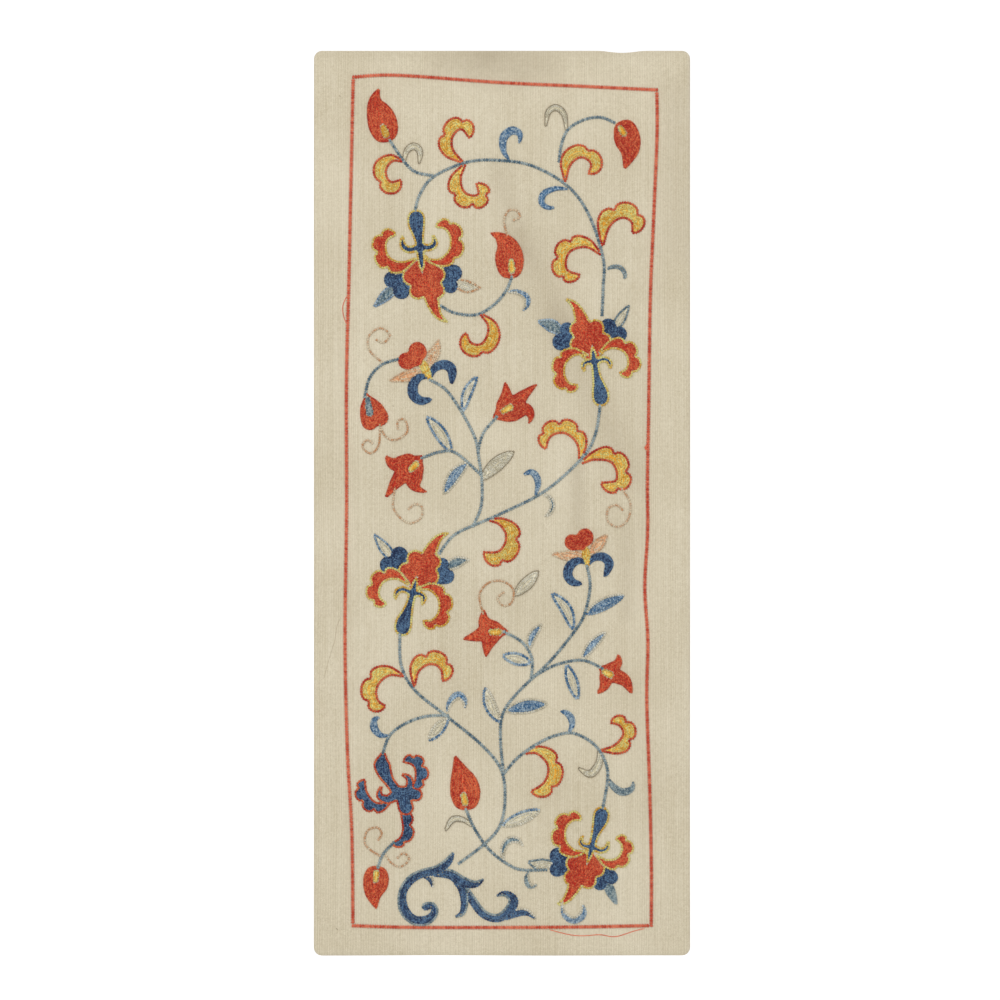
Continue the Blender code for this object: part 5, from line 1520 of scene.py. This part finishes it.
# %% The silk pieces
BROAD = 1.3
FINE_STITCH, BROAD_STITCH = 1.2, 1.25
THICKEST = 0.46
nodes_of = {
    "line": ["border_line"],
    "red": [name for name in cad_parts
            if name.startswith(("heart", "palmette", "blossom", "tulip", "bud"))],
    "gold": [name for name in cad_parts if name.startswith("cloud_leaf")],
    "stem": [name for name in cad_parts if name.startswith("vine")],
    "navy": ["root_scroll", "lone_crescent", "blue_palmette"],
}


def triangles_of(mesh):
    return sum(face.loop_total - 2 for face in mesh.polygons)


total = 0
for number, (silk, lines) in enumerate(rows.items()):
    common = {"To the back": (CLOTH + 0.05) * MM, "Dash": patterns["back_dash"], "Silk": finishes[silk],
              "Thickest": THICKEST * MM}
    meshes = []
    for broad, link, length in ((False, "fill_link", FINE_STITCH), (True, "edge_link", BROAD_STITCH)):
        chosen = [(line, row_width) for line, row_width in lines if (row_width > BROAD) == broad]
        if chosen:
            meshes.append(run_tree(f"{silk}_rows", chosen, stitch_tree, {
                **common, "Link": patterns[link], "Stitch length": length * MM, "Seed": 10 * number + broad}))
    if silk in laid:
        meshes.append(run_tree(
            f"{silk}_laid", laid[silk], laid_tree, {"Seed": number, "Silk": finishes[silk]}))
    piece = join_meshes(f"{silk}_stitches", meshes, finishes[silk])
    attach(piece, "root")
    if silk in nodes_of:
        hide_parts(*nodes_of[silk])
    total += triangles_of(piece.data)
    print(silk, "rows:", len(lines), "triangles:", triangles_of(piece.data))
for pattern in patterns.values():
    bpy.data.objects.remove(pattern)
print("Triangles of silk in all:", total)

# %% [markdown]
# ## The cotton panel
# The panel is one sheet. Its side, top and bottom edges are turned to the back in hems, so the sheet is
# twice as thick there, and its rim is a soft fold. A grid of small faces carries the hanging waves,
# and soft dark patches are stored on its points: painted shade along the creases, darker cotton elsewhere.

# %% The sheet
SIDE_HEM, TOP_HEM, BOTTOM_HEM, HEM_STEP = 19.0, 12.0, 14.0, 0.6
CORNER_RADIUS = 4.0
GRID = 2.0
RIM, FOLD = 0.45, 0.35
HEM_SLACK, TOP_SLACK = 0.1, 1.2
TOP_DIP = {"from": 47.0, "to": 73.0, "depth": 1.0}
# Soft dark patches, each along a short line, with its half width and how dark it is. Those along the
# creases are painted shade in the creases; the others only darken the cotton there. A patch below
# zero holds the dark ones beside it off the cotton that stays pale.
CREASE_SHADE_AND_PATCHES = [
    {"from": (-30, -6), "to": (-12, -3), "half": 8.0, "dark": 0.2},
    {"from": (-4, -3), "to": (20, -8), "half": 9.0, "dark": 0.22},
    {"from": (-14, -13), "to": (8, -15), "half": 7.0, "dark": 0.1},
    {"from": (-90, -1), "to": (90, 0), "half": 3.0, "dark": 0.12},
    {"from": (-1, -62), "to": (10, -100), "half": 6.0, "dark": 0.16},
    {"from": (10, -96), "to": (30, -136), "half": 9.0, "dark": 0.21},
    {"from": (26, -134), "to": (66, -212), "half": 9.0, "dark": 0.18},
    {"from": (88, -20), "to": (88, -100), "half": 9.0, "dark": 0.14},
    {"from": (38, -206), "to": (38, -238), "half": 4.0, "dark": 0.2},
    {"from": (62, -240), "to": (62, -282), "half": 4.0, "dark": 0.16},
    {"from": (-30, -30), "to": (-34, -52), "half": 12.0, "dark": -0.12},
    {"from": (26, -30), "to": (26, -50), "half": 10.0, "dark": -0.1},
    {"from": (8, -128), "to": (8, -162), "half": 12.0, "dark": -0.1},
    {"from": (86, -160), "to": (86, -440), "half": 9.0, "dark": -0.1},
]


def even_stops(low, high, spacing):
    count = max(1, round((high - low) / spacing))
    return [low + (high - low) * i / count for i in range(count + 1)]


half = WIDTH / 2
hem_out, hem_in = half - SIDE_HEM, half - SIDE_HEM - HEM_STEP
low_hem, high_hem = -HEIGHT + BOTTOM_HEM, -TOP_HEM
columns = (even_stops(-half, -hem_out, GRID) + even_stops(-hem_in, hem_in, GRID)
           + even_stops(hem_out, half, GRID))
stops = (even_stops(-HEIGHT, low_hem, GRID) + even_stops(low_hem + HEM_STEP, high_hem - HEM_STEP, GRID)
         + even_stops(high_hem, 0.0, GRID))
flat_x, flat_z = (grid.copy() for grid in np.meshgrid(columns, stops, indexing="ij"))


def round_corners(x, z):
    """Moves the places near each corner in, so that the corners are round."""
    mid_z = -HEIGHT / 2
    a = (np.abs(x) - half + CORNER_RADIUS) / CORNER_RADIUS
    b = (np.abs(z - mid_z) - HEIGHT / 2 + CORNER_RADIUS) / CORNER_RADIUS
    near = (a > 0) & (b > 0)
    safe_a, safe_b = np.where(near, a, 0.0), np.where(near, b, 0.0)
    new_a = safe_a * np.sqrt(1 - safe_b**2 / 2)
    new_b = safe_b * np.sqrt(1 - safe_a**2 / 2)
    x = np.where(near, np.sign(x) * (half - CORNER_RADIUS + new_a * CORNER_RADIUS), x)
    z = np.where(near, mid_z + np.sign(z - mid_z) * (HEIGHT / 2 - CORNER_RADIUS + new_b * CORNER_RADIUS), z)
    return x, z


flat_x, flat_z = round_corners(flat_x, flat_z)
dip = np.clip((flat_x - TOP_DIP["from"]) / (TOP_DIP["to"] - TOP_DIP["from"]), 0.0, 1.0)
flat_z = flat_z - TOP_DIP["depth"] * np.sin(np.pi * dip) ** 2 * smoothstep(-12.0, 0.0, flat_z)
hemmed = ((np.abs(flat_x) > hem_out - HEM_SLACK) | (flat_z < low_hem + HEM_SLACK)
          | (flat_z > high_hem - TOP_SLACK))
thickness = np.where(hemmed, HEMMED, CLOTH)
front_y = face_y(flat_x, flat_z)
print("Sheet grid:", flat_x.shape)

# %% The sheet's mesh


def sheet_mesh():
    sheet = bmesh.new()
    crease_shade_and_patches_layer = sheet.verts.layers.float.new("crease_shade_and_patches")
    across, down = flat_x.shape
    rim = [(i, 0) for i in range(across)] + [(across - 1, j) for j in range(1, down)]
    rim += [(i, down - 1) for i in range(across - 2, -1, -1)] + [(0, j) for j in range(down - 2, 0, -1)]
    on_rim = set(rim)
    mid_z = -HEIGHT / 2
    crease_shade_and_patches = crease_shade_and_patches_at(flat_x, flat_z)
    layers = []
    for back in (0.0, 1.0):
        layer = {}
        for i in range(across):
            for j in range(down):
                x, z = flat_x[i, j], flat_z[i, j]
                y = front_y[i, j] + back * thickness[i, j]
                if (i, j) in on_rim:
                    x -= RIM * np.sign(x) * (abs(x) > half - CORNER_RADIUS)
                    z -= RIM * np.sign(z - mid_z) * (abs(z - mid_z) > HEIGHT / 2 - CORNER_RADIUS)
                    y += FOLD * (1 - 2 * back)
                vert = sheet.verts.new((x * MM, y * MM, z * MM))
                vert[crease_shade_and_patches_layer] = crease_shade_and_patches[i, j]
                layer[i, j] = vert
        layers.append(layer)
    for layer in layers:
        for i in range(across - 1):
            for j in range(down - 1):
                sheet.faces.new((layer[i, j], layer[i + 1, j], layer[i + 1, j + 1], layer[i, j + 1]))
    edge = []
    for i, j in rim:
        y = front_y[i, j] + thickness[i, j] / 2
        vert = sheet.verts.new((flat_x[i, j] * MM, y * MM, flat_z[i, j] * MM))
        vert[crease_shade_and_patches_layer] = crease_shade_and_patches[i, j]
        edge.append(vert)
    for k in range(len(rim)):
        after = (k + 1) % len(rim)
        for layer in layers:
            sheet.faces.new((edge[k], edge[after], layer[rim[after]], layer[rim[k]]))
    bmesh.ops.recalc_face_normals(sheet, faces=sheet.faces)
    for face in sheet.faces:
        face.smooth = True
    mesh = bpy.data.meshes.new("cotton_panel")
    sheet.to_mesh(mesh)
    sheet.free()
    return mesh


# The dark patches on the cotton: painted shade along the creases, and darker patches elsewhere.
def crease_shade_and_patches_at(across, up):
    crease_shade_and_patches = np.zeros(np.shape(across))
    for mark in CREASE_SHADE_AND_PATCHES:
        off, share = along_line(across, up, mark["from"], mark["to"])
        past = np.maximum(np.abs(share - 0.5) - 0.5, 0.0) * np.hypot(*np.subtract(mark["to"], mark["from"]))
        crease_shade_and_patches = crease_shade_and_patches + mark["dark"] * np.exp(-((off**2 + past**2) / mark["half"] ** 2))
    return crease_shade_and_patches


panel = bpy.data.objects.new("cotton_panel", sheet_mesh())
panel.data.materials.append(cotton)
bpy.context.collection.objects.link(panel)
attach(panel, "root")
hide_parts("ground_cloth")
print("Triangles in the sheet:", triangles_of(panel.data))

# %% [markdown]
# ## Hem stitches
# The turned edges are held down on the back by small plain stitches of pale thread, a few
# millimetres inside the fold.

# %% Hem stitches
HEM_STITCH = {"length": 2.4, "pitch": 5.5, "width": 0.36, "inside": 1.8}


def hem_row(start, end):
    """Short stitches along a straight line on the back."""
    start, end = np.array(start), np.array(end)
    span = np.hypot(*(end - start))
    way = (end - start) / span
    count = int(span / HEM_STITCH["pitch"])
    places = [start + way * HEM_STITCH["pitch"] * (k + 0.5) for k in range(count)]
    return [(np.array([spot + way * HEM_STITCH["length"] * share for share in (-0.5, 0.0, 0.5)]),
             HEM_STITCH["width"]) for spot in places]


side_x, inside = hem_out + HEM_STITCH["inside"], HEM_STITCH["inside"]
top_z, bottom_z = high_hem + inside, low_hem - inside
hem_lines = (hem_row((-side_x, top_z), (-side_x, bottom_z)) + hem_row((side_x, top_z), (side_x, bottom_z))
             + hem_row((-side_x, top_z), (side_x, top_z)) + hem_row((-side_x, bottom_z), (side_x, bottom_z)))
hem_mesh = run_tree("hem_rows", hem_lines, laid_tree, {"Seed": 5, "Silk": finishes["ivory"]}, HEMMED)
hem_stitches = join_meshes("hem_stitches", [hem_mesh], finishes["ivory"])
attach(hem_stitches, "root")
print("Hem stitches:", len(hem_lines))
